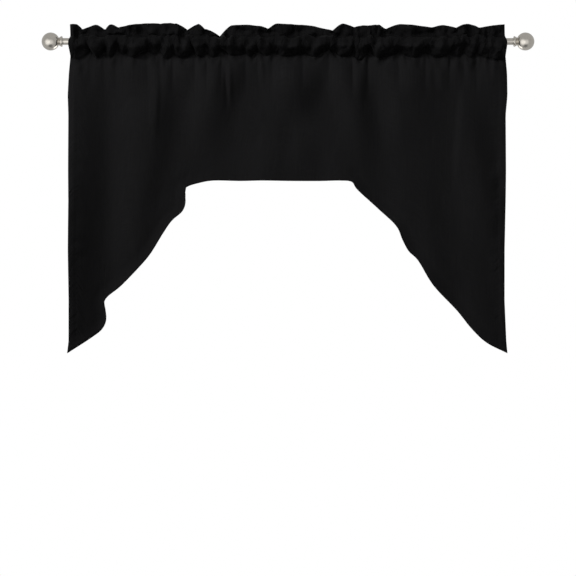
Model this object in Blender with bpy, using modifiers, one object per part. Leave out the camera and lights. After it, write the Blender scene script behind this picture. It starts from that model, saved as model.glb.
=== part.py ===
"""Window swag on its rod: one cloth, gathered on a tube through a sewn pocket, with a ruffled
heading above, an arched hem below and two pointed tails, and a turned ball finial at each rod end.

Metres, +Z up, the room at -Y and the window at +Y. The origin is the middle of the rod's axis.
"""

import math
from collections import namedtuple

import bpy
import numpy as np

# Rod and finials
ROD_DIAMETER = 0.019
ROD_WALL = 0.0012
OVERALL_LENGTH = 1.372
BALL_DIAMETER = 0.050
BALL_CENTRE = (OVERALL_LENGTH - BALL_DIAMETER) / 2  # from the middle of the rod, along it
FINIAL_FOOT = 0.0362  # from the ball's centre to the face that meets the rod
SPIGOT_LENGTH = 0.018
MERGE_DISTANCE = 0.00005
FIT_GAP = 0.0003
ROD_LENGTH = 2 * (BALL_CENTRE - FINIAL_FOOT - FIT_GAP)
TURNED_STEPS = 28
BALL_STEPS = 12

# The turned neck and flange of a finial, each point by its distance from the ball's centre.
Turning = namedtuple("Turning", "radius from_ball")
NECK_AND_FLANGE = (
    Turning(0.0106, 0.0232),
    Turning(0.0106, 0.0262),
    Turning(0.0118, 0.0272),
    Turning(0.0141, 0.0320),
    Turning(0.0148, 0.0334),
    Turning(0.0147, 0.0348),
    Turning(0.0138, 0.0359),
    Turning(0.0126, FINIAL_FOOT),
)

# Cloth
CLOTH_THICKNESS = 0.0015
LAYER_PITCH = 0.0024  # between the middles of two layers that are sewn together
ROD_CLEARANCE = 0.0011  # from the rod to the pocket's corners; its flats pass closer
WRAP_RADIUS = ROD_DIAMETER / 2 + CLOTH_THICKNESS / 2 + ROD_CLEARANCE
COLUMN_WIDTH = 0.0205
FEWEST_COLUMNS = 3  # between one gather and the next

# Ruffle and pocket
STITCH_HEIGHT = 0.022  # the upper stitching, above the rod's axis
LOWEST_STITCH = WRAP_RADIUS + 0.0014
STITCH_BELOW_EDGE = 0.007  # the least ruffle that stands above the upper stitching
RUFFLE_PUFF = 0.0015  # how far the ruffle's foot stands out between two gathers
TURNED_DEPTH = 0.0018  # the turned-over edge, behind the pocket's lower stitching
TURNED_LENGTH = 0.009  # how far that edge runs below the stitching
BACK_BULGE = 0.6  # the swell behind the rod, as a share of the swell in front
LOBE_ROUNDNESS = 0.75  # the swell between two gathers is a half sine to this power
SWELL_PEAK = 0.66  # under 1, the swell is fullest above the middle of the pocket's wall
RUFFLE_STEPS = 2
ARC_STEPS = 4
POCKET_STEPS = 3

# Hanging cloth
BODY_ROWS = 17
ROWS_CROWD_UP = 1.2  # over 1, the rows below the pocket lie closer together than those at the hem
GATHER_REACH = 0.12  # how far the puffs between the gathers run down below the pocket
GATHER_SHARE = 0.6  # their depth, as a share of the pocket's swell above them
GATHER_PEAK = 0.7  # under 1, a puff is fullest above its middle
BODY_FORWARD = 0.004  # how far the cloth hangs in front of its stitching
FORWARD_REACH = 0.08
FOLD_START = 0.03  # the drop below the stitching over which the folds set in
HEM_STEPS = 12  # points along the hem's curve from one of its rows to the next
HEM_CALM = 0.4  # the share of the folds' depth that is lost at the hem
HEM_FLIP = 0.004  # how far a slanting hem curls towards the room
HEM_FLIP_REACH = 0.016

# One row for each gather, from left to right, with the puff of cloth to its right: where the
# gather crosses the heading and the pocket's stitching, how high the top edge and the stitching
# are there, then the puff's crest (its share of the way and its height), the lowest point of its
# stitching, how far the pocket swells round the rod, and how far the ruffle leans to the room.
Gather = namedtuple("Gather", "heading seam notch seam_z crest_at crest sag swell lean")
GATHERS = (
    Gather(-0.605, -0.605, 0.048, -0.047, 0.50, 0.048, -0.051, 0.008, 0.004),
    Gather(-0.572, -0.550, 0.033, -0.029, 0.60, 0.047, -0.047, 0.007, -0.005),
    Gather(-0.509, -0.511, 0.032, -0.033, 0.42, 0.048, -0.046, 0.006, 0.006),
    Gather(-0.473, -0.478, 0.039, -0.029, 0.92, 0.050, -0.045, 0.013, 0.007),
    Gather(-0.394, -0.391, 0.050, -0.031, 0.45, 0.051, -0.038, 0.006, -0.003),
    Gather(-0.355, -0.356, 0.049, -0.034, 0.72, 0.052, -0.051, 0.009, -0.005),
    Gather(-0.316, -0.321, 0.049, -0.042, 0.10, 0.050, -0.049, 0.010, 0.003),
    Gather(-0.280, -0.259, 0.032, -0.036, 0.34, 0.048, -0.048, 0.013, 0.008),
    Gather(-0.190, -0.185, 0.014, -0.031, 0.55, 0.045, -0.041, 0.011, -0.006),
    Gather(-0.132, -0.118, 0.046, -0.038, 0.50, 0.046, -0.045, 0.006, 0.003),
    Gather(-0.090, -0.083, 0.044, -0.031, 0.35, 0.043, -0.042, 0.007, -0.004),
    Gather(-0.055, -0.043, 0.035, -0.037, 0.24, 0.049, -0.045, 0.012, 0.006),
    Gather(0.035, 0.041, 0.046, -0.039, 0.15, 0.046, -0.043, 0.010, -0.004),
    Gather(0.124, 0.114, 0.030, -0.026, 0.45, 0.049, -0.043, 0.012, 0.006),
    Gather(0.185, 0.180, 0.040, -0.043, 0.60, 0.045, -0.056, 0.013, -0.004),
    Gather(0.224, 0.222, 0.044, -0.036, 0.62, 0.046, -0.048, 0.012, 0.004),
    Gather(0.272, 0.308, 0.034, -0.032, 0.30, 0.048, -0.047, 0.012, 0.007),
    Gather(0.400, 0.383, 0.039, -0.036, 0.45, 0.046, -0.046, 0.010, -0.005),
    Gather(0.468, 0.450, 0.038, -0.037, 0.90, 0.048, -0.045, 0.008, 0.004),
    Gather(0.497, 0.490, 0.049, -0.036, 0.20, 0.049, -0.047, 0.007, -0.004),
    Gather(0.532, 0.525, 0.038, -0.039, 0.95, 0.047, -0.052, 0.011, 0.005),
    Gather(0.602, 0.605, 0.048, -0.051, 0.5, 0.048, -0.051, 0.0, 0.0),
)

# One row for each bend of the lower hem, from the left tail's point to the right one's. Its reach
# says how far up the cloth that bend still shows, as a share of the cloth's drop.
HemPoint = namedtuple("HemPoint", "across height depth reach")
HEM = (
    HemPoint(-0.613, -0.867, 0.002, 0.6),
    HemPoint(-0.550, -0.826, -0.008, 0.7),
    HemPoint(-0.517, -0.799, -0.012, 0.8),
    HemPoint(-0.503, -0.768, -0.004, 0.8),
    HemPoint(-0.518, -0.731, 0.011, 0.8),
    HemPoint(-0.503, -0.710, 0.012, 0.8),
    HemPoint(-0.466, -0.680, 0.000, 0.7),
    HemPoint(-0.416, -0.629, -0.010, 0.6),
    HemPoint(-0.383, -0.588, -0.010, 0.6),
    HemPoint(-0.349, -0.532, -0.006, 0.5),
    HemPoint(-0.324, -0.498, -0.010, 0.4),
    HemPoint(-0.294, -0.472, -0.012, 0.3),
    HemPoint(-0.281, -0.444, -0.004, 0.3),
    HemPoint(-0.295, -0.418, 0.009, 0.3),
    HemPoint(-0.280, -0.404, 0.011, 0.3),
    HemPoint(-0.249, -0.394, 0.003, 0.4),
    HemPoint(-0.207, -0.387, -0.005, 0.5),
    HemPoint(-0.132, -0.388, -0.003, 0.6),
    HemPoint(-0.071, -0.387, -0.009, 0.6),
    HemPoint(0.007, -0.388, -0.002, 0.6),
    HemPoint(0.085, -0.388, 0.002, 0.6),
    HemPoint(0.146, -0.387, -0.008, 0.6),
    HemPoint(0.178, -0.391, -0.006, 0.4),
    HemPoint(0.194, -0.411, 0.001, 0.4),
    HemPoint(0.252, -0.463, 0.004, 0.5),
    HemPoint(0.301, -0.509, -0.010, 0.5),
    HemPoint(0.319, -0.547, 0.004, 0.5),
    HemPoint(0.336, -0.579, 0.010, 0.5),
    HemPoint(0.362, -0.606, 0.006, 0.6),
    HemPoint(0.394, -0.659, -0.006, 0.6),
    HemPoint(0.419, -0.692, -0.002, 0.6),
    HemPoint(0.470, -0.746, 0.002, 0.6),
    HemPoint(0.511, -0.799, -0.008, 0.6),
    HemPoint(0.553, -0.835, -0.006, 0.6),
    HemPoint(0.610, -0.867, 0.004, 0.6),
)

# One row for each fold in the hanging cloth: where its line starts and ends, how far it spreads
# to the left and right of that line, how much of that spread is left at its lower end, where
# along the line it is fullest, and how far it stands out to the room. A negative fold goes back.
Fold = namedtuple("Fold", "x_top z_top x_foot z_foot left right taper full rise")
FOLDS = (
    Fold(-0.560, -0.040, -0.566, -0.420, 0.045, 0.036, 1.0, 0.30, 0.010),
    Fold(-0.500, -0.250, -0.508, -0.900, 0.100, 0.024, 0.9, 0.60, 0.012),
    Fold(-0.368, -0.030, -0.392, -0.580, 0.140, 0.032, 0.9, 0.35, 0.022),
    Fold(-0.345, -0.380, -0.470, -0.720, 0.044, 0.050, 0.8, 0.55, -0.010),
    Fold(-0.298, -0.050, -0.306, -0.360, 0.030, 0.042, 1.0, 0.40, 0.007),
    Fold(-0.184, -0.030, -0.244, -0.430, 0.086, 0.024, 0.5, 0.25, 0.018),
    Fold(-0.150, -0.120, -0.156, -0.250, 0.030, 0.038, 1.0, 0.65, -0.010),
    Fold(-0.076, -0.035, -0.072, -0.440, 0.030, 0.030, 1.2, 0.30, 0.008),
    Fold(0.002, -0.060, -0.010, -0.250, 0.068, 0.090, 0.8, 0.62, 0.018),
    Fold(0.012, -0.030, 0.012, -0.110, 0.026, 0.026, 1.0, 0.45, -0.007),
    Fold(0.010, -0.190, 0.010, -0.440, 0.048, 0.052, 1.1, 0.70, 0.008),
    Fold(0.192, -0.025, 0.176, -0.200, 0.080, 0.036, 0.7, 0.40, 0.017),
    Fold(0.150, -0.120, 0.152, -0.450, 0.032, 0.060, 1.0, 0.50, 0.010),
    Fold(0.324, -0.030, 0.318, -0.230, 0.090, 0.110, 0.8, 0.62, 0.018),
    Fold(0.306, -0.160, 0.312, -0.560, 0.034, 0.048, 1.0, 0.50, 0.009),
    Fold(0.490, -0.030, 0.458, -0.480, 0.030, 0.040, 1.2, 0.35, 0.012),
    Fold(0.458, -0.360, 0.480, -0.800, 0.036, 0.044, 1.2, 0.40, 0.010),
    Fold(0.410, -0.390, 0.440, -0.740, 0.060, 0.028, 0.8, 0.60, -0.012),
    Fold(0.564, -0.040, 0.572, -0.800, 0.040, 0.050, 0.9, 0.35, 0.007),
)

# Where the two side edges lie, down the cloth.
SideEdge = namedtuple("SideEdge", "z left right")
SIDE_EDGES = (
    SideEdge(0.052, -0.606, 0.602),
    SideEdge(0.014, -0.605, 0.602),
    SideEdge(0.006, -0.610, 0.608),
    SideEdge(-0.008, -0.610, 0.608),
    SideEdge(-0.042, -0.605, 0.605),
    SideEdge(-0.086, -0.609, 0.609),
    SideEdge(-0.150, -0.612, 0.610),
    SideEdge(-0.205, -0.610, 0.605),
    SideEdge(-0.360, -0.610, 0.606),
    SideEdge(-0.443, -0.609, 0.605),
    SideEdge(-0.582, -0.610, 0.602),
    SideEdge(-0.721, -0.608, 0.602),
    SideEdge(-0.833, -0.609, 0.607),
    SideEdge(-0.867, -0.613, 0.610),
)
EDGE_REACH = 0.06


def smooth_step(low, high, value):
    """0 below low, 1 above high and an easy slope between them."""
    share = np.clip((value - low) / (high - low), 0.0, 1.0)
    return share * share * (3.0 - 2.0 * share)


def spline_through(rows, steps):
    """A smooth curve (Catmull-Rom) through the rows of a table, as an array of points."""
    points = np.array(rows, float)
    ends = np.vstack([2 * points[0] - points[1], points, 2 * points[-1] - points[-2]])
    share = np.linspace(0.0, 1.0, steps, endpoint=False)[:, None]
    pieces = []
    for before, start, end, after in zip(ends, ends[1:], ends[2:], ends[3:]):
        slope_in, slope_out = (end - before) / 2, (after - start) / 2
        pieces.append(
            start * (1 + 2 * share) * (1 - share) ** 2
            + slope_in * share * (1 - share) ** 2
            + end * share**2 * (3 - 2 * share)
            + slope_out * share**2 * (share - 1)
        )
    return np.vstack(pieces + [points[-1:]])


def point_in_puff(here, there, share):
    """The values of one column, at a share of the way from one gather to the next."""
    lobe = max(math.sin(math.pi * share), 0.0) ** LOBE_ROUNDNESS
    if share < here.crest_at:
        climb = math.sin(math.pi / 2 * share / here.crest_at)
        edge = here.notch + (here.crest - here.notch) * climb
    else:
        fall = (share - here.crest_at) / (1.0 - here.crest_at)
        edge = here.crest + (there.notch - here.crest) * (1.0 - math.cos(math.pi / 2 * fall))
    sag = here.sag - (here.seam_z + there.seam_z) / 2
    heading = here.heading + (there.heading - here.heading) * share
    seam = here.seam + (there.seam - here.seam) * share
    seam_z = here.seam_z + (there.seam_z - here.seam_z) * share + sag * lobe
    return heading, seam, edge, seam_z, lobe, here.swell, here.lean


class Columns:
    """The cloth's columns: arrays with one value for each, from the left edge to the right."""

    def __init__(self):
        found = []
        for here, there in zip(GATHERS, GATHERS[1:]):
            count = max(FEWEST_COLUMNS, round((there.seam - here.seam) / COLUMN_WIDTH))
            found += [point_in_puff(here, there, step / count) for step in range(count)]
        found.append(point_in_puff(GATHERS[-2], GATHERS[-1], 1.0))
        self.count = len(found)
        columns = np.array(found).T
        self.heading, self.seam, self.edge, self.seam_z, self.lobe, self.swell, self.lean = columns
        self.stitch = np.clip(self.edge - STITCH_BELOW_EDGE, LOWEST_STITCH, STITCH_HEIGHT)


def hem_under(columns):
    """The hem's place across, height, depth and reach under each column. A width of cloth is as
    long at the pocket as at the hem, so the hem is shared out by its length seen from above."""
    curve = spline_through(HEM, HEM_STEPS)
    plan_steps = np.hypot(np.diff(curve[:, 0]), np.diff(curve[:, 2]))
    along = np.concatenate([[0.0], np.cumsum(plan_steps)])
    share = (columns.seam - columns.seam[0]) / (columns.seam[-1] - columns.seam[0])
    return [np.interp(share * along[-1], along, value) for value in curve.T]


def fold_depth(across, height):
    """How far the hanging cloth stands out to the room at each place, from the table of folds."""
    total = np.zeros_like(across)
    for fold in FOLDS:
        share = (fold.z_top - height) / (fold.z_top - fold.z_foot)
        line = fold.x_top + (fold.x_foot - fold.x_top) * np.clip(share, 0.0, 1.0)
        spread = 1.0 + (fold.taper - 1.0) * np.clip(share, 0.0, 1.0)
        offset = across - line
        reach = np.where(offset < 0, fold.left, fold.right) * spread
        ridge = 0.5 + 0.5 * np.cos(np.pi * np.clip(np.abs(offset) / reach, 0.0, 1.0))
        length = smooth_step(0.0, fold.full, share) * (1.0 - smooth_step(fold.full, 1.0, share))
        total += fold.rise * ridge * length
    return total


def meet_side_edges(across, height):
    """One row's places across, pulled near its two ends so that they meet the side edges."""
    heights = [edge.z for edge in reversed(SIDE_EDGES)]
    left = np.interp(height[0], heights, [edge.left for edge in reversed(SIDE_EDGES)])
    right = np.interp(height[-1], heights, [edge.right for edge in reversed(SIDE_EDGES)])
    left_share = np.clip(1 - (across - across[0]) / EDGE_REACH, 0.0, 1.0)
    right_share = np.clip(1 - (across[-1] - across) / EDGE_REACH, 0.0, 1.0)
    return across + (left - across[0]) * left_share**2 + (right - across[-1]) * right_share**2


def ruffle_rows(columns):
    """The front of the ruffle, from the upper stitching to the fold along its top, as rows of
    (across, depth, height), then that fold, and the rows of the ruffle's back."""
    half = LAYER_PITCH / 2
    front = []
    back = []
    for step in range(RUFFLE_STEPS + 1):
        share = step / RUFFLE_STEPS
        height = columns.stitch + (columns.edge - half - columns.stitch) * share
        middle = -(columns.lean * share + RUFFLE_PUFF) * columns.lobe
        slope = np.gradient(middle, columns.heading)
        length = np.hypot(1.0, slope)
        aside, out = half * slope / length, half / length
        front.append((columns.heading + aside, middle - out, height))
        back.append((columns.heading - aside, middle + out, height))
    fold = (columns.heading, middle, columns.edge)
    return front, fold, back


def pocket_rows(columns, side):
    """The pocket's wall on one side of the rod (-1 the room, 1 the window): it leaves the upper
    stitching, wraps the rod, and runs straight from there to the lower stitching."""
    start = np.arccos(WRAP_RADIUS / columns.stitch)
    end = np.pi - np.arccos(WRAP_RADIUS / -columns.seam_z)
    above = np.sqrt(columns.stitch**2 - WRAP_RADIUS**2)
    below = np.sqrt(columns.seam_z**2 - WRAP_RADIUS**2)
    whole = above + WRAP_RADIUS * (end - start) + below
    swell = columns.swell * columns.lobe * (1.0 if side < 0 else BACK_BULGE)
    rows = []
    for step in range(ARC_STEPS + 1):
        angle = start + (end - start) * step / ARC_STEPS
        share = (above + WRAP_RADIUS * (angle - start)) / whole
        radius = WRAP_RADIUS + swell * np.sin(np.pi * share**SWELL_PEAK)
        rows.append((share, radius * np.sin(angle), radius * np.cos(angle)))
    leave_depth = WRAP_RADIUS * np.sin(end)
    leave_height = WRAP_RADIUS * np.cos(end)
    for step in range(1, POCKET_STEPS + 1):
        part = step / POCKET_STEPS
        share = 1.0 - below * (1.0 - part) / whole
        out = swell * np.sin(np.pi * share**SWELL_PEAK)
        depth = leave_depth + (LAYER_PITCH / 2 - leave_depth) * part + out * np.sin(end)
        height = leave_height + (columns.seam_z - leave_height) * part + out * np.cos(end)
        rows.append((share, depth, height))
    aside = columns.seam - columns.heading
    return [(columns.heading + aside * share, side * depth, height) for share, depth, height in rows]


def body_rows(columns):
    """The single cloth from the pocket's lower stitching down to the hem."""
    hem_across, hem_height, hem_depth, hem_reach = hem_under(columns)
    flip = HEM_FLIP * np.clip(np.abs(np.gradient(hem_height, columns.seam)), 0.0, 1.0)
    rows = []
    for step in range(1, BODY_ROWS + 1):
        part = (step / BODY_ROWS) ** ROWS_CROWD_UP
        near_hem = smooth_step(0.0, 1.0, (part - 1 + hem_reach) / hem_reach)
        across = columns.seam + (hem_across - columns.seam) * near_hem
        height = columns.seam_z + (hem_height - columns.seam_z) * part
        fall = columns.seam_z - height
        puff = np.sin(np.pi * np.clip(fall / GATHER_REACH, 0.0, 1.0) ** GATHER_PEAK)
        folds = smooth_step(0.0, FOLD_START, fall) * (1.0 - HEM_CALM * near_hem)
        curl = np.clip(1.0 - (height - hem_height) / HEM_FLIP_REACH, 0.0, 1.0)
        forward = LAYER_PITCH / 2 + BODY_FORWARD * smooth_step(0.0, FORWARD_REACH, fall)
        forward += GATHER_SHARE * columns.swell * columns.lobe * puff
        forward += fold_depth(across, height) * folds
        forward += flip * curl
        rows.append((across, hem_depth * near_hem - forward, height))
    return rows


def cloth_rows(columns):
    """All rows of the cloth as it is sewn: up the back of the pocket from the turned-over edge,
    over the top of the ruffle, down the front of the pocket and down the swag to its hem."""
    front, fold, back = ruffle_rows(columns)
    turned_depth = np.full(columns.count, TURNED_DEPTH)
    rows = [(columns.seam, turned_depth, columns.seam_z - TURNED_LENGTH)]
    rows += reversed(pocket_rows(columns, 1))
    rows += back + [fold] + front[::-1]
    rows += pocket_rows(columns, -1)
    rows += body_rows(columns)
    return [(meet_side_edges(across, height), depth, height) for across, depth, height in rows]


def material(name, colour, roughness, metallic):
    made = bpy.data.materials.new(name)
    made.use_nodes = True
    shader = made.node_tree.nodes["Principled BSDF"]
    shader.inputs["Base Color"].default_value = (*colour, 1.0)
    shader.inputs["Roughness"].default_value = roughness
    shader.inputs["Metallic"].default_value = metallic
    made.diffuse_color = (*colour, 1.0)
    return made


def finish(obj, name, collection, look):
    """Names an object, gives it its material and puts it in the part's collection alone."""
    obj.name = obj.data.name = name
    obj.data.materials.append(look)
    for old in list(obj.users_collection):
        old.objects.unlink(obj)
    collection.objects.link(obj)
    return obj


def build_swag(collection, look):
    columns = Columns()
    rows = cloth_rows(columns)
    bpy.ops.mesh.primitive_grid_add(
        x_subdivisions=columns.count - 1, y_subdivisions=len(rows) - 1, size=1.0
    )
    obj = bpy.context.object
    points = np.array([np.stack(row, axis=1) for row in rows])
    obj.data.vertices.foreach_set("co", points.astype(np.float32).ravel())
    obj.data.shade_smooth()
    thickness = obj.modifiers.new("Cloth thickness", "SOLIDIFY")
    thickness.thickness = CLOTH_THICKNESS
    thickness.offset = 0.0
    return finish(obj, "swag", collection, look)


def build_rod(collection, look):
    bpy.ops.mesh.primitive_cylinder_add(
        vertices=TURNED_STEPS,
        radius=ROD_DIAMETER / 2,
        depth=ROD_LENGTH,
        end_fill_type="NOTHING",
        rotation=(0.0, math.pi / 2, 0.0),
    )
    obj = bpy.context.object
    obj.data.shade_smooth()
    wall = obj.modifiers.new("Tube wall", "SOLIDIFY")
    wall.thickness = ROD_WALL
    wall.offset = -1.0
    return finish(obj, "rod", collection, look)


def finial_profile():
    """(radius, distance from the rod's end) from the tip of the ball in to the spigot's end."""
    ball = BALL_DIAMETER / 2
    centre = FINIAL_FOOT + FIT_GAP
    last = math.pi - math.asin(NECK_AND_FLANGE[0].radius / ball)
    turns = [last * step / BALL_STEPS for step in range(BALL_STEPS + 1)]
    profile = [(ball * math.sin(turn), centre + ball * math.cos(turn)) for turn in turns]
    profile += [(point.radius, centre - point.from_ball) for point in NECK_AND_FLANGE]
    spigot = ROD_DIAMETER / 2 - ROD_WALL - FIT_GAP
    profile.append((spigot, FIT_GAP))
    profile.append((spigot, -SPIGOT_LENGTH))
    profile.append((0.0, -SPIGOT_LENGTH))
    return profile


def build_finials(collection, look):
    profile = finial_profile()
    mesh = bpy.data.meshes.new("finial")
    corners = [(radius, 0.0, height) for radius, height in profile]
    mesh.from_pydata(corners, [(i, i + 1) for i in range(len(corners) - 1)], [])
    for name, side in (("finial_left", -1), ("finial_right", 1)):
        obj = bpy.data.objects.new(name, mesh.copy())
        obj.location = (side * ROD_LENGTH / 2, 0.0, 0.0)
        obj.rotation_euler = (0.0, side * math.pi / 2, 0.0)
        turn = obj.modifiers.new("Turned shape", "SCREW")
        turn.steps = turn.render_steps = TURNED_STEPS
        turn.use_merge_vertices = True
        turn.merge_threshold = MERGE_DISTANCE
        finish(obj, name, collection, look)


def main():
    for obj in list(bpy.data.objects):
        bpy.data.objects.remove(obj)
    collection = bpy.data.collections.new("Window swag on rod")
    bpy.context.scene.collection.children.link(collection)
    black_cloth = material("Black cloth", (0.008, 0.008, 0.009), 0.75, 0.0)
    satin_nickel = material("Satin nickel", (0.50, 0.47, 0.42), 0.32, 1.0)
    build_rod(collection, satin_nickel)
    build_finials(collection, satin_nickel)
    build_swag(collection, black_cloth)


main()
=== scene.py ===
"""Window swag on its rod, dressed: black cloth with its gathers, folds, hems and stitching, and a
satin nickel rod with ball finials, over a pale floor in soft studio light.

Laid out as an add-on, and run as a script. Everything is in metres in the part's own frame: the
origin is the middle of the rod's axis, +X runs along the rod, the room is at -Y and +Z is up.
"""

import math
import random
from collections import namedtuple

import bpy
import numpy as np
from bpy.props import FloatProperty, FloatVectorProperty, IntProperty, PointerProperty
from bpy.types import Operator, Panel, PropertyGroup
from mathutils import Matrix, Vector, noise


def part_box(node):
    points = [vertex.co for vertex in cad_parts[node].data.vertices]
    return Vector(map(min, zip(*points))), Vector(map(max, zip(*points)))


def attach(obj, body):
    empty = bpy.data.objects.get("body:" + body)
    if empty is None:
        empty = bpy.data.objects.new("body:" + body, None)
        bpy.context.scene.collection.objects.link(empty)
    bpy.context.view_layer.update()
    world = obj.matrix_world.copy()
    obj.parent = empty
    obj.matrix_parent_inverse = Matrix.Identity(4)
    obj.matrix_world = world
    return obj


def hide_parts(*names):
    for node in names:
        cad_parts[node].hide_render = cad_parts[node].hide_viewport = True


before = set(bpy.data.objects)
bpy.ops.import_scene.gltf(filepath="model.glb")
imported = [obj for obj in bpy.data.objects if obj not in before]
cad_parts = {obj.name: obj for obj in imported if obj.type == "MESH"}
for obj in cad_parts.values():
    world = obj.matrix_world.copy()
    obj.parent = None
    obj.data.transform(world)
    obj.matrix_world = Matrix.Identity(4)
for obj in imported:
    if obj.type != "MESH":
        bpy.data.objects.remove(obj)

bl_info = {
    "name": "Window swag on a rod",
    "version": (1, 0, 0),
    "blender": (4, 5, 0),
    "location": "3D View > Sidebar > Swag",
    "description": "Builds a gathered black window swag, its stitching, its rod and its finials",
    "category": "Add Mesh",
}

ROD_LOW, ROD_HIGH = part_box("rod")
ROD_RADIUS = (ROD_HIGH.z - ROD_LOW.z) / 2
ROD_END = ROD_HIGH.x
BALL_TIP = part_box("finial_right")[1].x
BALL_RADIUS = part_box("finial_right")[1].z

# The way the cloth goes round the rod and hangs
LAYER_PITCH = 0.0013  # between the middles of two layers that are sewn together
ROD_CLEARANCE = 0.0004  # between the rod and the cloth where the cloth lies on it
SIDE_HEM_FADE = 1.6  # the side hem's thickness has run out at this many times its width
STITCH_HEIGHT = 0.022  # the upper stitching, above the rod's axis
STITCH_SAG = 0.006  # how far that stitching sags between two gathers
MIDDLING_SWELL = 0.0095  # the swell of a puff whose stitching sags by just that
STITCH_OVER_ROD = 0.001  # the least that it stays above the cloth round the rod
STITCH_BELOW_EDGE = 0.007  # the least ruffle that stands above that stitching
RUFFLE_PUFF = 0.0015  # how far the ruffle's foot stands out between two gathers
TURNED_DEPTH = 0.0012  # the turned-over edge, behind the pocket's lower stitching
TURNED_LENGTH = 0.009  # how far that edge runs below the stitching
BACK_BULGE = 0.6  # the swell behind the rod, as a share of the table's
FRONT_BULGE = 1.15  # the swell in front of the rod, as a share of the table's
POCKET_FULLNESS = 0.008  # how far the pocket's front stands out all along, beside that swell
LOBE_ROUNDNESS = 0.75  # the swell between two gathers is a half sine to this power
SCALLOP_ROUNDNESS = 1.2  # the same for the sag of the lower stitching
SWELL_PEAK = 0.88  # under 1, the swell is fullest above the middle of the pocket's wall
SWELL_ABOVE = 3.0  # over 1, the swell sets in softly under the upper stitching
SWELL_BELOW = 0.55  # under 1, it turns in sharply at the lower stitching
RUNS_ON = 0.6  # the share of the swell that runs on across the gathers at the rod's height
FULLEST_SWELL = 0.013  # the largest swell in the table of gathers
GATHER_SHARE = 0.8  # the puffs below the pocket, as a share of the swell above them
GATHER_REACH = 0.15  # how far the fullest of those puffs runs down
LEAST_REACH = 0.45  # how far a flat one would run, as a share of that
PUFF_GAIN = 2.6  # its swell down that run is x ** 0.5 * (1 - x) ** 2, times this
BODY_FORWARD = 0.004  # how far the cloth hangs in front of its stitching
FORWARD_REACH = 0.08  # the drop over which it comes that far
FOLD_START = 0.03  # the drop below the stitching over which the folds set in
PUFF_STEPS = 100  # points across each puff, before the columns share them out
HEM_STEPS = 24  # points along the hem's curve from one of its rows to the next
STEEPEST_HEM = 2.0  # the most times its width that a slanting hem reaches up a column
HEM_CALM = 0.4  # the share of the folds' depth that is lost at the hem
HEM_FLIP = 0.0022  # how far a slanting hem curls towards the room
HEM_FLIP_REACH = 0.012  # how wide that curl is, and the trough above it
HEM_TROUGH = 0.0015  # how far the cloth lies back above a slanting hem
HEM_TROUGH_AT = 0.024  # how far above the hem that trough is
HEM_REACH = 0.25  # how far above the hem its own waves still show
HEM_DEPTH_PLACES = 125  # places across at which the hem's depth is evened out
HEM_DEPTH_BLUR = 0.02  # how far to either side that reaches
STEEP_SHARE = 0.35  # how much of the hem's rise counts when the columns share it out
TURN_REACH = 0.05  # how far above the hem its small turns back still show
EDGE_REACH = 0.06  # how far in from a side edge its wandering still shows
RELIEF_INSET = 0.015  # how far in from a side edge the creases and ruches are at full depth

# The uneven ruches over the heading, coarse and fine together
RUCHE_DEPTH = 0.0060  # about how deep they are
RUCHE_BELOW = 0.040  # how far below the pocket they run out
RUCHE_ACROSS = 42.0  # coarse ruches to the metre across the cloth
RUCHE_DOWN = 26.0  # the same down the cloth
RUCHE_FINER = 2.3  # how many times finer the fine ones are
COARSE_SHARE, FINE_SHARE = 1.5, 0.5  # what each adds to the depth
RUFFLE_FROM, RUFFLE_FULL = 0.014, 0.026  # between these heights they deepen into the ruffle
RUFFLE_EXTRA = 0.9  # how much deeper the ruches are in the ruffle, as a share
RUCHE_LEAST = 0.3  # the share of that depth that is left where the ruffle is drawn together
RUCHES_FADE_ROWS = 5  # the rows behind the rod over which the ruffle's ruches fade out

# Painted shade over the gathered heading, as a share of the ruffle's: the material darkens by it,
# standing in for the shade in its scrunches and creases
GATHERED_SHADE_FADE = 0.006  # how far below the pocket that painted shade has run out
POCKET_FOOT_SHADE = 0.78  # the painted shade on the pocket's lower front
POCKET_FOOT_HEIGHTS = (-0.012, 0.006)  # where that starts to rise and where it is all there
POCKET_TOP_SHADE = 0.15  # the painted shade that the pocket's top adds, under the ruffle
POCKET_TOP_AT, POCKET_TOP_SPREAD = 0.013, 0.007  # its height and how far it spreads
CREASE_SHADE = 0.4  # the painted shade that a gather's crease adds
CREASED_HEIGHTS = (0.010, -0.006)  # where that starts and where, further down, it is all there
PUCKER_REACH = 0.080  # how far in from a side edge the finest puckers run
PUCKER_DROP = (0.08, 0.24)  # the drop below the pocket over which they set in

# How many rows of points each stretch of the cloth has
TURNED_ROWS = 2
BACK_POCKET_ROWS = 14
BACK_RUFFLE_ROWS = 5
FOLD_ROWS = 3
RUFFLE_ROWS = 8
POCKET_ROWS = 28
HANGING_ROWS = 74
HEM_TURN_ROWS = 2
HEM_BACK_ROWS = 3

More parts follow.
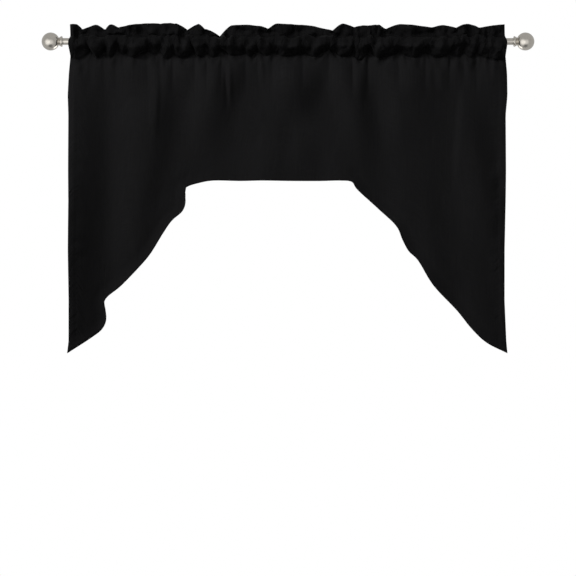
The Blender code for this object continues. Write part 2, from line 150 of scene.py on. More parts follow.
# One row for each gather, from left to right, with the puff of cloth to its right: where the
# gather crosses the heading and the pocket's stitching, how high the top edge and the stitching
# are there, then the puff's crest (its share of the way and its height), the lowest point of its
# stitching, how far the pocket swells round the rod, and how far the ruffle leans to the room.
Gather = namedtuple("Gather", "heading seam notch seam_z crest_at crest sag swell lean")
GATHERS = [Gather(*row) for row in (
    (-0.605, -0.605, 0.048, -0.043, 0.50, 0.048, -0.048, 0.008, 0.004),
    (-0.572, -0.550, 0.033, -0.023, 0.60, 0.047, -0.044, 0.007, -0.005),
    (-0.509, -0.511, 0.032, -0.027, 0.42, 0.048, -0.043, 0.006, 0.006),
    (-0.473, -0.478, 0.039, -0.023, 0.92, 0.050, -0.042, 0.013, 0.007),
    (-0.394, -0.391, 0.050, -0.025, 0.45, 0.051, -0.035, 0.006, -0.003),
    (-0.355, -0.356, 0.049, -0.028, 0.72, 0.052, -0.048, 0.009, -0.005),
    (-0.316, -0.321, 0.049, -0.036, 0.10, 0.050, -0.046, 0.010, 0.003),
    (-0.280, -0.259, 0.032, -0.030, 0.65, 0.048, -0.042, 0.010, 0.007),
    (-0.232, -0.226, 0.034, -0.034, 0.10, 0.034, -0.044, 0.012, 0.008),
    (-0.190, -0.185, 0.014, -0.025, 0.55, 0.045, -0.038, 0.011, -0.006),
    (-0.132, -0.118, 0.046, -0.032, 0.50, 0.046, -0.042, 0.006, 0.003),
    (-0.090, -0.083, 0.044, -0.025, 0.35, 0.043, -0.039, 0.007, -0.004),
    (-0.055, -0.043, 0.035, -0.031, 0.24, 0.049, -0.042, 0.012, 0.006),
    (0.035, 0.041, 0.046, -0.033, 0.15, 0.046, -0.040, 0.010, -0.004),
    (0.124, 0.114, 0.030, -0.020, 0.45, 0.049, -0.040, 0.012, 0.006),
    (0.185, 0.180, 0.040, -0.037, 0.60, 0.045, -0.053, 0.013, -0.004),
    (0.224, 0.222, 0.044, -0.030, 0.62, 0.046, -0.045, 0.012, 0.004),
    (0.272, 0.308, 0.034, -0.026, 0.30, 0.048, -0.044, 0.012, 0.007),
    (0.400, 0.383, 0.039, -0.030, 0.45, 0.046, -0.043, 0.010, -0.005),
    (0.468, 0.450, 0.038, -0.031, 0.90, 0.048, -0.042, 0.008, 0.004),
    (0.497, 0.490, 0.049, -0.030, 0.20, 0.049, -0.044, 0.007, -0.004),
    (0.532, 0.525, 0.038, -0.033, 0.95, 0.047, -0.049, 0.011, 0.005),
    (0.602, 0.605, 0.048, -0.047, 0.50, 0.048, -0.048, 0.000, 0.000),
)]

# One row for each bend of the lower hem, from the left tail's point to the right one's: its place
# across, its height, how far back it hangs, and how far up the cloth that bend still shows, as a
# share of the cloth's drop.
HEM = (
    (-0.613, -0.867, 0.002, 0.6),
    (-0.550, -0.826, 0.003, 0.7),
    (-0.517, -0.799, 0.005, 0.8),
    (-0.506, -0.768, 0.006, 0.8),
    (-0.513, -0.731, 0.005, 0.8),
    (-0.503, -0.710, 0.004, 0.8),
    (-0.466, -0.680, 0.003, 0.7),
    (-0.416, -0.629, 0.002, 0.6),
    (-0.383, -0.590, 0.001, 0.6),
    (-0.349, -0.535, 0.000, 0.5),
    (-0.324, -0.499, -0.001, 0.4),
    (-0.294, -0.472, -0.002, 0.4),
    (-0.285, -0.444, -0.003, 0.4),
    (-0.290, -0.418, -0.004, 0.4),
    (-0.280, -0.404, -0.003, 0.4),
    (-0.249, -0.394, -0.003, 0.4),
    (-0.207, -0.387, -0.005, 0.5),
    (-0.132, -0.388, -0.003, 0.6),
    (-0.071, -0.387, -0.008, 0.6),
    (0.007, -0.388, -0.002, 0.6),
    (0.085, -0.388, 0.002, 0.6),
    (0.146, -0.387, -0.005, 0.6),
    (0.178, -0.391, -0.005, 0.4),
    (0.194, -0.413, -0.004, 0.4),
    (0.252, -0.466, -0.001, 0.5),
    (0.301, -0.513, -0.003, 0.5),
    (0.319, -0.552, -0.001, 0.5),
    (0.336, -0.583, 0.001, 0.5),
    (0.362, -0.609, 0.001, 0.6),
    (0.394, -0.663, -0.004, 0.6),
    (0.419, -0.695, -0.002, 0.6),
    (0.470, -0.748, 0.002, 0.6),
    (0.511, -0.799, -0.004, 0.6),
    (0.553, -0.838, -0.004, 0.6),
    (0.610, -0.867, 0.004, 0.6),
)

# One row for each fold in the hanging cloth: where its line starts and ends, how far it spreads
# to the left and right of that line, how much of that spread is left at its lower end, where
# along the line it is fullest, and how far it stands out to the room. A negative fold goes back.
Fold = namedtuple("Fold", "x_top z_top x_foot z_foot left right taper full rise")
FOLDS = [Fold(*row) for row in (
    (-0.585, -0.030, -0.590, -0.560, 0.030, 0.095, 1.0, 0.30, 0.013),
    (-0.366, -0.025, -0.402, -0.560, 0.140, 0.090, 0.85, 0.38, 0.020),
    (-0.385, -0.240, -0.450, -0.700, 0.100, 0.070, 0.9, 0.50, 0.011),
    (-0.490, -0.080, -0.490, -1.150, 0.120, 0.080, 1.0, 0.50, -0.010),
    (-0.640, -0.030, -0.640, -1.200, 0.020, 0.160, 1.0, 0.55, 0.034),
    (-0.188, -0.028, -0.262, -0.420, 0.080, 0.100, 0.75, 0.28, 0.018),
    (0.014, -0.030, 0.022, -0.250, 0.130, 0.097, 0.8, 0.45, 0.019),
    (-0.036, -0.150, -0.026, -0.440, 0.075, 0.055, 1.0, 0.50, 0.006),
    (0.036, -0.190, 0.030, -0.440, 0.050, 0.080, 1.0, 0.50, 0.007),
    (0.152, -0.028, 0.232, -0.440, 0.080, 0.082, 0.6, 0.30, 0.015),
    (0.306, -0.028, 0.330, -0.420, 0.072, 0.162, 0.9, 0.30, 0.016),
    (0.340, -0.280, 0.352, -0.640, 0.075, 0.100, 0.9, 0.45, 0.010),
    (0.500, -0.120, 0.570, -0.700, 0.075, 0.060, 1.2, 0.50, 0.012),
    # The finer lines that lie on those folds
    (-0.362, -0.040, -0.372, -0.330, 0.022, 0.014, 1.0, 0.40, 0.0035),
    (-0.176, -0.040, -0.168, -0.215, 0.010, 0.010, 1.0, 0.40, -0.0035),
    (-0.163, -0.045, -0.160, -0.205, 0.010, 0.010, 1.0, 0.40, 0.0030),
    (-0.076, -0.035, -0.070, -0.125, 0.012, 0.010, 1.0, 0.40, 0.0040),
    (0.500, -0.030, 0.466, -0.480, 0.022, 0.080, 1.0, 0.45, 0.0048),
    (0.404, -0.040, 0.412, -0.160, 0.014, 0.020, 1.0, 0.50, -0.0030),
)]

# Where the two side edges lie, down the cloth: a height, then the left and the right edge.
SIDE_EDGES = (
    (0.052, -0.606, 0.602),
    (0.014, -0.605, 0.603),
    (0.000, -0.610, 0.608),
    (-0.010, -0.610, 0.608),
    (-0.042, -0.605, 0.605),
    (-0.086, -0.609, 0.609),
    (-0.150, -0.612, 0.610),
    (-0.205, -0.610, 0.605),
    (-0.360, -0.610, 0.606),
    (-0.443, -0.609, 0.605),
    (-0.582, -0.610, 0.602),
    (-0.721, -0.608, 0.602),
    (-0.833, -0.609, 0.607),
    (-0.867, -0.613, 0.610),
)

# One row for each main crease of the heading, as seen from the room: where it starts and ends, half
# its width, and how far it stands out to the room. A negative crease goes back.
CREASE_END = 1.25  # a crease runs out at this many times half its length from its middle
Crease = namedtuple("Crease", "x_start z_start x_end z_end width depth")
HEADING_CREASES = [Crease(*row) for row in (
    (-0.501, 0.043, -0.488, 0.028, 0.004, 0.0036),
    (-0.455, 0.014, -0.430, 0.021, 0.004, 0.0027),
    (-0.355, 0.026, -0.354, -0.002, 0.004, 0.0036),
    (-0.342, 0.012, -0.343, -0.014, 0.004, -0.0036),
    (-0.332, 0.028, -0.333, 0.006, 0.004, 0.0036),
    (-0.285, 0.014, -0.272, 0.000, 0.004, 0.0050),
    (-0.272, 0.000, -0.252, 0.002, 0.004, 0.0050),
    (-0.252, 0.002, -0.246, 0.022, 0.004, 0.0050),
    (-0.170, 0.032, -0.168, 0.012, 0.007, -0.0072),
    (-0.165, -0.011, -0.154, 0.016, 0.004, 0.0062),
    (-0.124, 0.018, -0.096, 0.022, 0.005, 0.0027),
    (-0.112, -0.017, -0.096, -0.027, 0.004, 0.0045),
    (-0.092, 0.012, -0.084, -0.012, 0.004, -0.0036),
    (-0.084, 0.017, -0.074, -0.016, 0.004, 0.0062),
    (-0.048, 0.030, -0.036, 0.038, 0.004, 0.0036),
    (-0.040, 0.012, 0.020, 0.004, 0.006, 0.0036),
    (0.020, 0.004, 0.060, 0.016, 0.006, 0.0036),
    (-0.051, -0.014, -0.035, -0.030, 0.004, 0.0027),
    (-0.012, -0.033, 0.016, -0.014, 0.004, 0.0027),
    (0.038, -0.034, 0.056, -0.016, 0.004, 0.0027),
    (0.104, -0.010, 0.107, 0.024, 0.005, 0.0045),
    (0.148, 0.024, 0.160, 0.000, 0.004, 0.0036),
    (0.310, -0.001, 0.280, -0.032, 0.004, 0.0036),
    (0.338, 0.011, 0.361, -0.011, 0.004, 0.0036),
    (0.361, -0.011, 0.384, 0.003, 0.004, 0.0036),
    (0.392, -0.003, 0.402, -0.014, 0.004, 0.0036),
    (0.462, 0.017, 0.481, -0.014, 0.004, 0.0036),
    (0.483, -0.003, 0.489, 0.031, 0.004, 0.0045),
    (0.489, 0.031, 0.501, -0.003, 0.004, 0.0045),
    (0.495, -0.022, 0.517, -0.034, 0.004, 0.0045),
    (0.422, -0.031, 0.461, -0.045, 0.004, 0.0045),
)]

# Besides those, small creases lie all over the heading, and puckers along the side hems. Each
# pair of sizes is the least and the most.
SMALL_CREASES = 110
SMALL_PLACES_X, SMALL_PLACES_Z = (-0.6, 0.6), (-0.030, 0.040)
SMALL_LEAN = 0.8  # the usual lean from upright, in radians
SMALL_HALF_LENGTH = (0.007, 0.018)
SMALL_WIDTH = (0.005, 0.009)
SMALL_DEPTH = (0.0010, 0.0028)
SIDE_PUCKERS = 15  # along each side
PUCKERED_SIDES = ((-1, -0.20, -0.66), (1, -0.28, -0.76))  # left or right, top and foot
PUCKER_EDGE = 0.607  # where they start, to either side of the middle
PUCKER_LENGTH = (0.024, 0.050)
PUCKER_SLANT = (-0.014, 0.010)
PUCKER_WIDTH = (0.008, 0.012)
PUCKER_DEPTH = (0.0008, 0.0018)

# The turned neck and flange of a finial, each point by its distance from the ball's centre.
Turning = namedtuple("Turning", "radius from_ball")
NECK_AND_FLANGE = [Turning(*row) for row in (
    (0.0106, 0.0232),
    (0.0106, 0.0240),
    (0.0118, 0.0248),
    (0.0141, 0.0288),
    (0.0148, 0.0302),
    (0.0147, 0.0316),
    (0.0138, 0.0328),
    (0.0112, 0.0333),
    (0.0097, 0.0336),
    (0.0096, 0.0362),
)]
SPIGOT_RADIUS = 0.0080
SPIGOT_LENGTH = 0.018
SPIGOT_CHAMFER = 0.0008
BALL_STEPS = 40
RIM_BEVEL = 0.00025  # of the tube's ends

# Weave and stitching
CROWN = 0.4  # how much of a thread's height it gains where it crosses over another
THREAD_PROUD = 0.15  # how far a sewing thread stands off the cloth, as a share of its diameter
STITCH_INSIDE_HEM = 0.002  # from a hem's turned edge to its stitching
SIDE_STITCH_ROW = 3  # the row below the pocket at which the side hems' stitching starts


# Sizes and colours that a user would change


class SwagClothSettings(PropertyGroup):
    flat_width: FloatProperty(
        name="Cut width", description="Width of the cloth before it is gathered",
        default=1.422, min=1.25, max=1.8, unit="LENGTH",
    )
    flat_length: FloatProperty(
        name="Cut length", description="Length of the cloth at a tail, with its heading and hem",
        default=1.040, min=0.9, max=1.3, unit="LENGTH",
    )
    thickness: FloatProperty(
        name="Thickness", description="Thickness of one layer of the cloth",
        default=0.0007, min=0.0003, max=0.001, unit="LENGTH",
    )
    hem_width: FloatProperty(
        name="Hem width", description="Width of the turned hems",
        default=0.012, min=0.006, max=0.03, unit="LENGTH",
    )
    columns: IntProperty(
        name="Columns", description="Points across the cloth", default=324, min=120, max=400,
    )
    thread_pitch: FloatProperty(
        name="Thread pitch", description="Distance from one thread of the weave to the next",
        default=0.00045, min=0.0002, max=0.002, unit="LENGTH",
    )
    colour: FloatVectorProperty(
        name="Cloth colour", description="Colour of the black cloth",
        default=(0.0130, 0.0128, 0.0134), size=3, subtype="COLOR", min=0.0, max=1.0,
    )


class SwagStitchSettings(PropertyGroup):
    length: FloatProperty(
        name="Stitch length", description="Length of one stitch",
        default=0.0028, min=0.001, max=0.006, unit="LENGTH",
    )
    gap: FloatProperty(
        name="Stitch gap", description="Gap from one stitch to the next",
        default=0.0007, min=0.0002, max=0.004, unit="LENGTH",
    )
    thread: FloatProperty(
        name="Thread", description="Diameter of the sewing thread",
        default=0.0004, min=0.0002, max=0.001, unit="LENGTH",
    )
    colour: FloatVectorProperty(
        name="Thread colour", description="Colour of the sewing thread",
        default=(0.015, 0.015, 0.0155), size=3, subtype="COLOR", min=0.0, max=1.0,
    )


class SwagRodSettings(PropertyGroup):
    wall: FloatProperty(
        name="Tube wall", description="Wall of the rod's tube",
        default=0.0012, min=0.0006, max=0.003, unit="LENGTH",
    )
    steps: IntProperty(
        name="Steps round", description="Points round the rod and the finials",
        default=72, min=24, max=128,
    )
    colour: FloatVectorProperty(
        name="Nickel colour", description="Colour of the satin nickel",
        default=(0.56, 0.53, 0.48), size=3, subtype="COLOR", min=0.0, max=1.0,
    )


class SwagStageSettings(PropertyGroup):
    look_height: FloatProperty(
        name="View height", description="Height of the camera, which looks level",
        default=-0.6865, unit="LENGTH",
    )
    view_width: FloatProperty(
        name="View width", description="Width that the picture takes in at the rod",
        default=1.604, min=0.5, unit="LENGTH",
    )
    camera_distance: FloatProperty(
        name="Camera distance", description="Distance from the rod to the camera",
        default=8.0, min=2.0, unit="LENGTH",
    )
    floor_height: FloatProperty(
        name="Floor height", description="Height of the floor, below the rod",
        default=-2.1, max=-0.95, unit="LENGTH",
    )
    floor_radius: FloatProperty(
        name="Floor radius", description="Radius of the round floor",
        default=4.5, min=1.0, unit="LENGTH",
    )
    floor_colour: FloatVectorProperty(
        name="Floor colour", description="Colour of the pale floor",
        default=(0.90, 0.89, 0.88), size=3, subtype="COLOR", min=0.0, max=1.0,
    )
    floor_glow: FloatProperty(
        name="Floor glow", description="Faint light of its own that keeps the floor pale",
        default=0.20, min=0.0, max=1.0, subtype="FACTOR",
    )
    light_above: FloatProperty(
        name="Light above", description="Brightness of the even light from above",
        default=0.12, min=0.0, max=2.0,
    )
    light_below: FloatProperty(
        name="Light below", description="Brightness of the even light from below",
        default=0.01, min=0.0, max=2.0,
    )
    key_power: FloatProperty(
        name="Key light", description="Power of the large soft light at the left",
        default=1710.0, min=0.0, subtype="POWER",
    )
    mirrored: FloatProperty(
        name="Mirrored light", description="Brightness of the even grey that the metal mirrors",
        default=0.58, min=0.0, max=4.0,
    )


# Small helpers for curves


def smooth_step(low, high, value):
    """0 below low, 1 above high and an easy slope between them."""
    share = np.clip((value - low) / (high - low), 0.0, 1.0)
    return share * share * (3.0 - 2.0 * share)


def spline_through(rows, steps):
    """A smooth curve (Catmull-Rom) through the rows of a table, as an array of points."""
    points = np.array(rows, float)
    ends = np.vstack([2 * points[0] - points[1], points, 2 * points[-1] - points[-2]])
    share = np.linspace(0.0, 1.0, steps, endpoint=False)[:, None]
    pieces = []
    for before, start, end, after in zip(ends, ends[1:], ends[2:], ends[3:]):
        slope_in, slope_out = (end - before) / 2, (after - start) / 2
        pieces.append(
            start * (1 + 2 * share) * (1 - share) ** 2
            + slope_in * share * (1 - share) ** 2
            + end * share**2 * (3 - 2 * share)
            + slope_out * share**2 * (share - 1)
        )
    return np.vstack(pieces + [points[-1:]])


def lengths_along(points):
    """The distance walked along a line of points, from 0 at its first."""
    steps = np.linalg.norm(np.diff(points, axis=0), axis=1)
    return np.concatenate([[0.0], np.cumsum(steps)])


def unit(vectors):
    """Vectors of the same directions, with a length of 1."""
    return vectors / np.maximum(np.linalg.norm(vectors, axis=-1, keepdims=True), 1e-12)


def walked_along(line, along, distance):
    """The values of a line's three axes at one distance along it, or at several."""
    return np.stack([np.interp(distance, along, line[:, axis]) for axis in range(3)], axis=-1)


# The cloth's surface


def point_in_puff(here, there, share):
    """The values of one column, at a share of the way from one gather to the next."""
    arc = max(math.sin(math.pi * share), 0.0)
    lobe = arc**LOBE_ROUNDNESS
    if share < here.crest_at:
        climb = share / here.crest_at
        climb = (climb + math.sin(math.pi / 2 * climb)) / 2
        edge = here.notch + (here.crest - here.notch) * climb
    else:
        fall = (share - here.crest_at) / (1.0 - here.crest_at)
        fall = (fall + 1.0 - math.cos(math.pi / 2 * fall)) / 2
        edge = here.crest + (there.notch - here.crest) * fall
    sag = here.sag - (here.seam_z + there.seam_z) / 2
    heading = here.heading + (there.heading - here.heading) * share
    seam = here.seam + (there.seam - here.seam) * share
    seam_z = here.seam_z + (there.seam_z - here.seam_z) * share + sag * arc**SCALLOP_ROUNDNESS
    return heading, seam, edge, seam_z, lobe, here.swell, here.lean


class Columns:
    """The cloth's columns: arrays with one value for each, from the left edge to the right. They
    lie evenly along the pocket's swelling front, as threads do, and so crowd at the gathers."""

    def __init__(self, settings):
        found = []
        for here, there in zip(GATHERS, GATHERS[1:]):
            for step in range(PUFF_STEPS):
                found.append(point_in_puff(here, there, step / PUFF_STEPS))
        found.append(point_in_puff(GATHERS[-2], GATHERS[-1], 1.0))
        dense = np.array(found)
        front = dense[:, 5] * dense[:, 4]
        along = lengths_along(np.stack([dense[:, 1], front], axis=1))
        even = np.linspace(0.0, along[-1], settings.columns)
        columns = [np.interp(even, along, dense[:, value]) for value in range(dense.shape[1])]
        self.heading, self.seam, self.edge, self.seam_z, self.lobe, self.swell, self.lean = columns
        middles = [(here.seam + there.seam) / 2 for here, there in zip(GATHERS, GATHERS[1:])]
        self.even_swell = np.interp(self.seam, middles, [here.swell for here in GATHERS[:-1]])
        self.count = settings.columns
        self.inset = np.minimum(self.seam - self.seam[0], self.seam[-1] - self.seam)
        hem_end = SIDE_HEM_FADE * settings.hem_width
        side_hem = 1.0 - smooth_step(settings.hem_width, hem_end, self.inset)
        self.half_pitch = LAYER_PITCH * (0.5 + side_hem)
        self.wrap = ROD_RADIUS + ROD_CLEARANCE + settings.thickness / 2 + LAYER_PITCH * side_hem
        stitch = STITCH_HEIGHT - STITCH_SAG * self.lobe * self.even_swell / MIDDLING_SWELL
        lowest = self.wrap + STITCH_OVER_ROD
        self.stitch = np.clip(self.edge - STITCH_BELOW_EDGE, lowest, stitch)


def hem_under(columns):
    """The hem's curve, and its place across, height and reach under each column. The columns share
    it out by its width, with some more of them where it is steep."""
    curve = spline_through(HEM, HEM_STEPS)
    along = lengths_along(curve[:, :2] * (1.0, STEEP_SHARE))
    share = (columns.seam - columns.seam[0]) / (columns.seam[-1] - columns.seam[0])
    return curve, [np.interp(share * along[-1], along, curve[:, value]) for value in (0, 1, 3)]


def even_hem_depth(across, hem):
    """How far the hem hangs back at each place across, evened out so that it has no steps."""
    places = np.linspace(hem[:, 0].min(), hem[:, 0].max(), HEM_DEPTH_PLACES)
    weight = np.exp(-(((places[:, None] - hem[:, 0]) / HEM_DEPTH_BLUR) ** 2))
    return np.interp(across, places, (weight * hem[:, 2]).sum(axis=1) / weight.sum(axis=1))


def fold_depth(across, height):
    """How far the hanging cloth stands out to the room at each place, from the table of folds."""
    total = np.zeros_like(across)
    for fold in FOLDS:
        share = (fold.z_top - height) / (fold.z_top - fold.z_foot)
        line = fold.x_top + (fold.x_foot - fold.x_top) * np.clip(share, 0.0, 1.0)
        spread = 1.0 + (fold.taper - 1.0) * np.clip(share, 0.0, 1.0)
        offset = across - line
        reach = np.where(offset < 0, fold.left, fold.right) * spread
        ridge = 0.5 + 0.5 * np.cos(np.pi * np.clip(np.abs(offset) / reach, 0.0, 1.0))
        length = smooth_step(0.0, fold.full, share) * (1.0 - smooth_step(fold.full, 1.0, share))
        total += fold.rise * ridge * length
    return total


def crease_depth(across, height, creases):
    """How far the cloth stands out to the room at each place, from a list of creases."""
    total = np.zeros_like(across)
    for crease in creases:
        run_x = crease.x_end - crease.x_start
        run_z = crease.z_end - crease.z_start
        length = math.hypot(run_x, run_z)
        from_x, from_z = across - crease.x_start, height - crease.z_start
        along = (from_x * run_x + from_z * run_z) / length**2
        aside = (from_x * run_z - from_z * run_x) / (length * crease.width)
        ends = 1.0 - np.clip(np.abs(2.0 * along - 1.0) / CREASE_END, 0.0, 1.0) ** 2
        total += crease.depth * ends * np.exp(-aside * aside)
    return total


def small_creases():
    """Small creases at chance places over the heading, mostly upright, as its gathering makes."""
    chance = random.Random(11)
    creases = []
    for _ in range(SMALL_CREASES):
        x, z = chance.uniform(*SMALL_PLACES_X), chance.uniform(*SMALL_PLACES_Z)
        lean, half = chance.gauss(0.0, SMALL_LEAN), chance.uniform(*SMALL_HALF_LENGTH)
        aside, rise = half * math.sin(lean), half * math.cos(lean)
        depth = chance.choice((-1.0, 1.0)) * chance.uniform(*SMALL_DEPTH)
        width = chance.uniform(*SMALL_WIDTH)
        creases.append(Crease(x - aside, z - rise, x + aside, z + rise, width, depth))
    return creases


def ruches(columns, points, flat_width):
    """Uneven upright ruches over the heading, which run out a little below the pocket."""
    across = np.linspace(0.0, flat_width, columns.count)
    apart = np.gradient(columns.heading)
    spread = RUCHE_LEAST + (1.0 - RUCHE_LEAST) * np.clip(apart / apart.mean(), 0.0, 1.0)
    depth = np.zeros(points.shape[:2])
    elsewhere = Vector((7.0, 3.0, 0.0))
    for row, line in enumerate(points):
        below = float(np.mean(columns.seam_z - line[:, 2]))
        if below > RUCHE_BELOW:
            break
        down = float(np.mean(line[:, 2]))
        strength = RUCHE_DEPTH * (1.0 - smooth_step(0.0, RUCHE_BELOW, below))
        in_ruffle = smooth_step(RUFFLE_FROM, RUFFLE_FULL, down)
        strength = strength * (1.0 + in_ruffle * ((1.0 + RUFFLE_EXTRA) * spread - 1.0))
        for column in range(columns.count):
            place = Vector((across[column] * RUCHE_ACROSS, down * RUCHE_DOWN, 0.0))
            coarse, fine = noise.noise(place), noise.noise(place * RUCHE_FINER + elsewhere)
            uneven = COARSE_SHARE * coarse + FINE_SHARE * fine
            depth[row, column] = strength[column] * uneven
    return depth


def side_puckers():
    """Short creases that run in from the two side hems, where the stitching draws them up."""
    chance = random.Random(5)
    creases = []
    for side, top, foot in PUCKERED_SIDES:
        for place in range(SIDE_PUCKERS):
            z = top + (foot - top) * (place + chance.uniform(0.1, 0.9)) / SIDE_PUCKERS
            length, slant = chance.uniform(*PUCKER_LENGTH), chance.uniform(*PUCKER_SLANT)
            depth = chance.uniform(*PUCKER_DEPTH) * chance.choice((-1.0, 1.0))
            width = chance.uniform(*PUCKER_WIDTH)
            edge = side * PUCKER_EDGE
            creases.append(Crease(edge, z, edge - side * length, z + slant, width, depth))
    return creases


def meet_side_edges(across, height):
    """One row's places across, pulled near its two ends so that they meet the side edges."""
    heights, lefts, rights = np.array(SIDE_EDGES[::-1]).T
    left, right = np.interp(height[0], heights, lefts), np.interp(height[-1], heights, rights)
    left_share = np.clip(1 - (across - across[0]) / EDGE_REACH, 0.0, 1.0)
    right_share = np.clip(1 - (across[-1] - across) / EDGE_REACH, 0.0, 1.0)
    return across + (left - across[0]) * left_share**2 + (right - across[-1]) * right_share**2


def ruffle_side(columns, side, steps):
    """One side of the ruffle (-1 the room, 1 the window), from the upper stitching to the fold
    along its top, as rows of (across, depth, height)."""
    half = columns.half_pitch
    rows = []
    for step in range(steps + 1):
        share = step / steps
        height = columns.stitch + (columns.edge - half - columns.stitch) * share
        middle = -(columns.lean * share + RUFFLE_PUFF) * columns.lobe
        slope = np.gradient(middle, columns.heading)
        length = np.hypot(1.0, slope)
        aside, out = half * slope / length, half / length
        rows.append((columns.heading - side * aside, middle + side * out, height))
    return rows


def ruffle_fold(columns, front, back):
    """The fold along the ruffle's top, from its back to its front."""
    half = columns.half_pitch
    rows = []
    for step in range(1, FOLD_ROWS + 1):
        turn = math.pi * step / (FOLD_ROWS + 1)
        share = (1.0 - math.cos(turn)) / 2
        across = back[0] + (front[0] - back[0]) * share
        depth = back[1] + (front[1] - back[1]) * share
        rows.append((across, depth, columns.edge - half + half * math.sin(turn)))
    return rows


def pocket_side(columns, side, steps):
    """The pocket's wall on one side of the rod (-1 the room, 1 the window): it leaves the upper
    stitching, wraps the rod, and runs from there to the lower stitching."""
    wrap = columns.wrap
    start = np.arccos(wrap / columns.stitch)
    end = np.pi - np.arccos(wrap / -columns.seam_z)
    above = np.sqrt(columns.stitch**2 - wrap**2)
    below = np.sqrt(columns.seam_z**2 - wrap**2)
    whole = above + wrap * (end - start) + below
    bulge, fullness = (FRONT_BULGE, POCKET_FULLNESS) if side < 0 else (BACK_BULGE, 0.0)
    rows = []
    for step in range(1, steps + 1):
        share = step / steps
        bell = max(math.sin(math.pi * share**SWELL_PEAK), 0.0)
        runs_on = RUNS_ON * bell
        swell = runs_on * columns.even_swell + (1.0 - runs_on) * columns.swell * columns.lobe
        full = fullness * (1.0 - (1.0 - bell) * (1.0 - columns.lobe))
        roundness = SWELL_ABOVE + (SWELL_BELOW - SWELL_ABOVE) * share
        out = (full + bulge * swell) * bell**roundness
        walked = share * whole
        angle = np.clip(start + (walked - above) / wrap, start, end)
        part = np.clip((walked - whole + below) / below, 0.0, 1.0)
        rise = np.clip(1.0 - walked / above, 0.0, 1.0)
        depth = wrap * np.sin(angle) * (1 - part) * (1 - rise)
        depth += columns.half_pitch * np.maximum(part, rise)
        height = wrap * np.cos(angle)
        height = height + (columns.stitch - height) * rise + (columns.seam_z - height) * part
        across = columns.heading + (columns.seam - columns.heading) * share
        rows.append((across, side * (depth + out * np.sin(angle)), height + out * np.cos(angle)))
    return rows


def hanging_rows(columns):
    """The single cloth from the pocket's lower stitching down to the hem."""
    hem, (hem_across, hem_height, hem_reach) = hem_under(columns)
    slant = np.clip(np.abs(np.gradient(hem_height, columns.seam)), 0.0, 1.0)
    steady = np.minimum.accumulate(hem_across[::-1])[::-1]
    more = (1.0 - LEAST_REACH) * columns.swell / FULLEST_SWELL
    puff_reach = GATHER_REACH * (LEAST_REACH + more)
    rows = []
    for step in range(1, HANGING_ROWS + 1):
        part = step / HANGING_ROWS
        near_hem = smooth_step(0.0, 1.0, (part - 1 + hem_reach) / hem_reach)
        height = columns.seam_z + (hem_height - columns.seam_z) * part
        turned = np.clip(1.0 - (height - hem_height) / TURN_REACH, 0.0, 1.0) ** 2
        across = columns.seam + (steady - columns.seam) * near_hem + (hem_across - steady) * turned
        fall = columns.seam_z - height
        share = np.clip(fall / puff_reach, 0.0, 1.0)
        puff = PUFF_GAIN * share**0.5 * (1.0 - share) ** 2
        from_hem = np.hypot(across[:, None] - hem[:, 0], height[:, None] - hem[:, 1]).min(axis=1)
        hem_share = 1.0 - smooth_step(0.0, HEM_REACH, from_hem)
        folds = smooth_step(0.0, FOLD_START, fall) * (1.0 - HEM_CALM * hem_share)
        curl = np.clip(1.0 - from_hem / HEM_FLIP_REACH, 0.0, 1.0) ** 2
        trough = np.exp(-(((from_hem - HEM_TROUGH_AT) / HEM_FLIP_REACH) ** 2))
        forward = columns.half_pitch + BODY_FORWARD * smooth_step(0.0, FORWARD_REACH, fall)
        forward += GATHER_SHARE * columns.swell * columns.lobe * puff
        forward += fold_depth(across, height) * folds
        forward += (HEM_FLIP * curl - HEM_TROUGH * trough) * slant
        rows.append((across, even_hem_depth(across, hem) * hem_share - forward, height))
    return rows


def outward(points):
    """The unit normals of a grid of points, which point away from the rod and to the room."""
    across = np.gradient(points, axis=1)
    down = np.gradient(points, axis=0)
    return unit(np.cross(down, across))


def widths_up(hem_line, width):
    """How far a width reaches up each column from the lower hem: further where the hem slants."""
    slope = np.abs(np.gradient(hem_line[:, 2]) / np.gradient(hem_line[:, 0]))
    return width * np.minimum(np.hypot(1.0, slope), STEEPEST_HEM)


def turned_back(points, normals, width):
    """The rows that follow a grid's last one where its edge is turned to the back: a round turn,
    then a strip as wide as the hem. width has one value for each column."""
    edge, normal = points[-1], normals[-1]
    beyond = unit(points[-1] - points[-2])
    half = LAYER_PITCH / 2
    rows = []
    for step in range(1, HEM_TURN_ROWS + 1):
        turn = math.pi * step / (HEM_TURN_ROWS + 1)
        rows.append(edge + beyond * half * math.sin(turn) - normal * half * (1 - math.cos(turn)))
    strip = np.zeros((HEM_BACK_ROWS, len(edge), 3))
    for column in range(len(edge)):
        line = points[::-1, column]
        along = lengths_along(line)
        at = width[column] * np.arange(1, HEM_BACK_ROWS + 1) / HEM_BACK_ROWS
        behind = LAYER_PITCH * walked_along(normals[::-1, column], along, at)
        strip[:, column] = walked_along(line, along, at) - behind
    return np.concatenate([np.array(rows), strip])


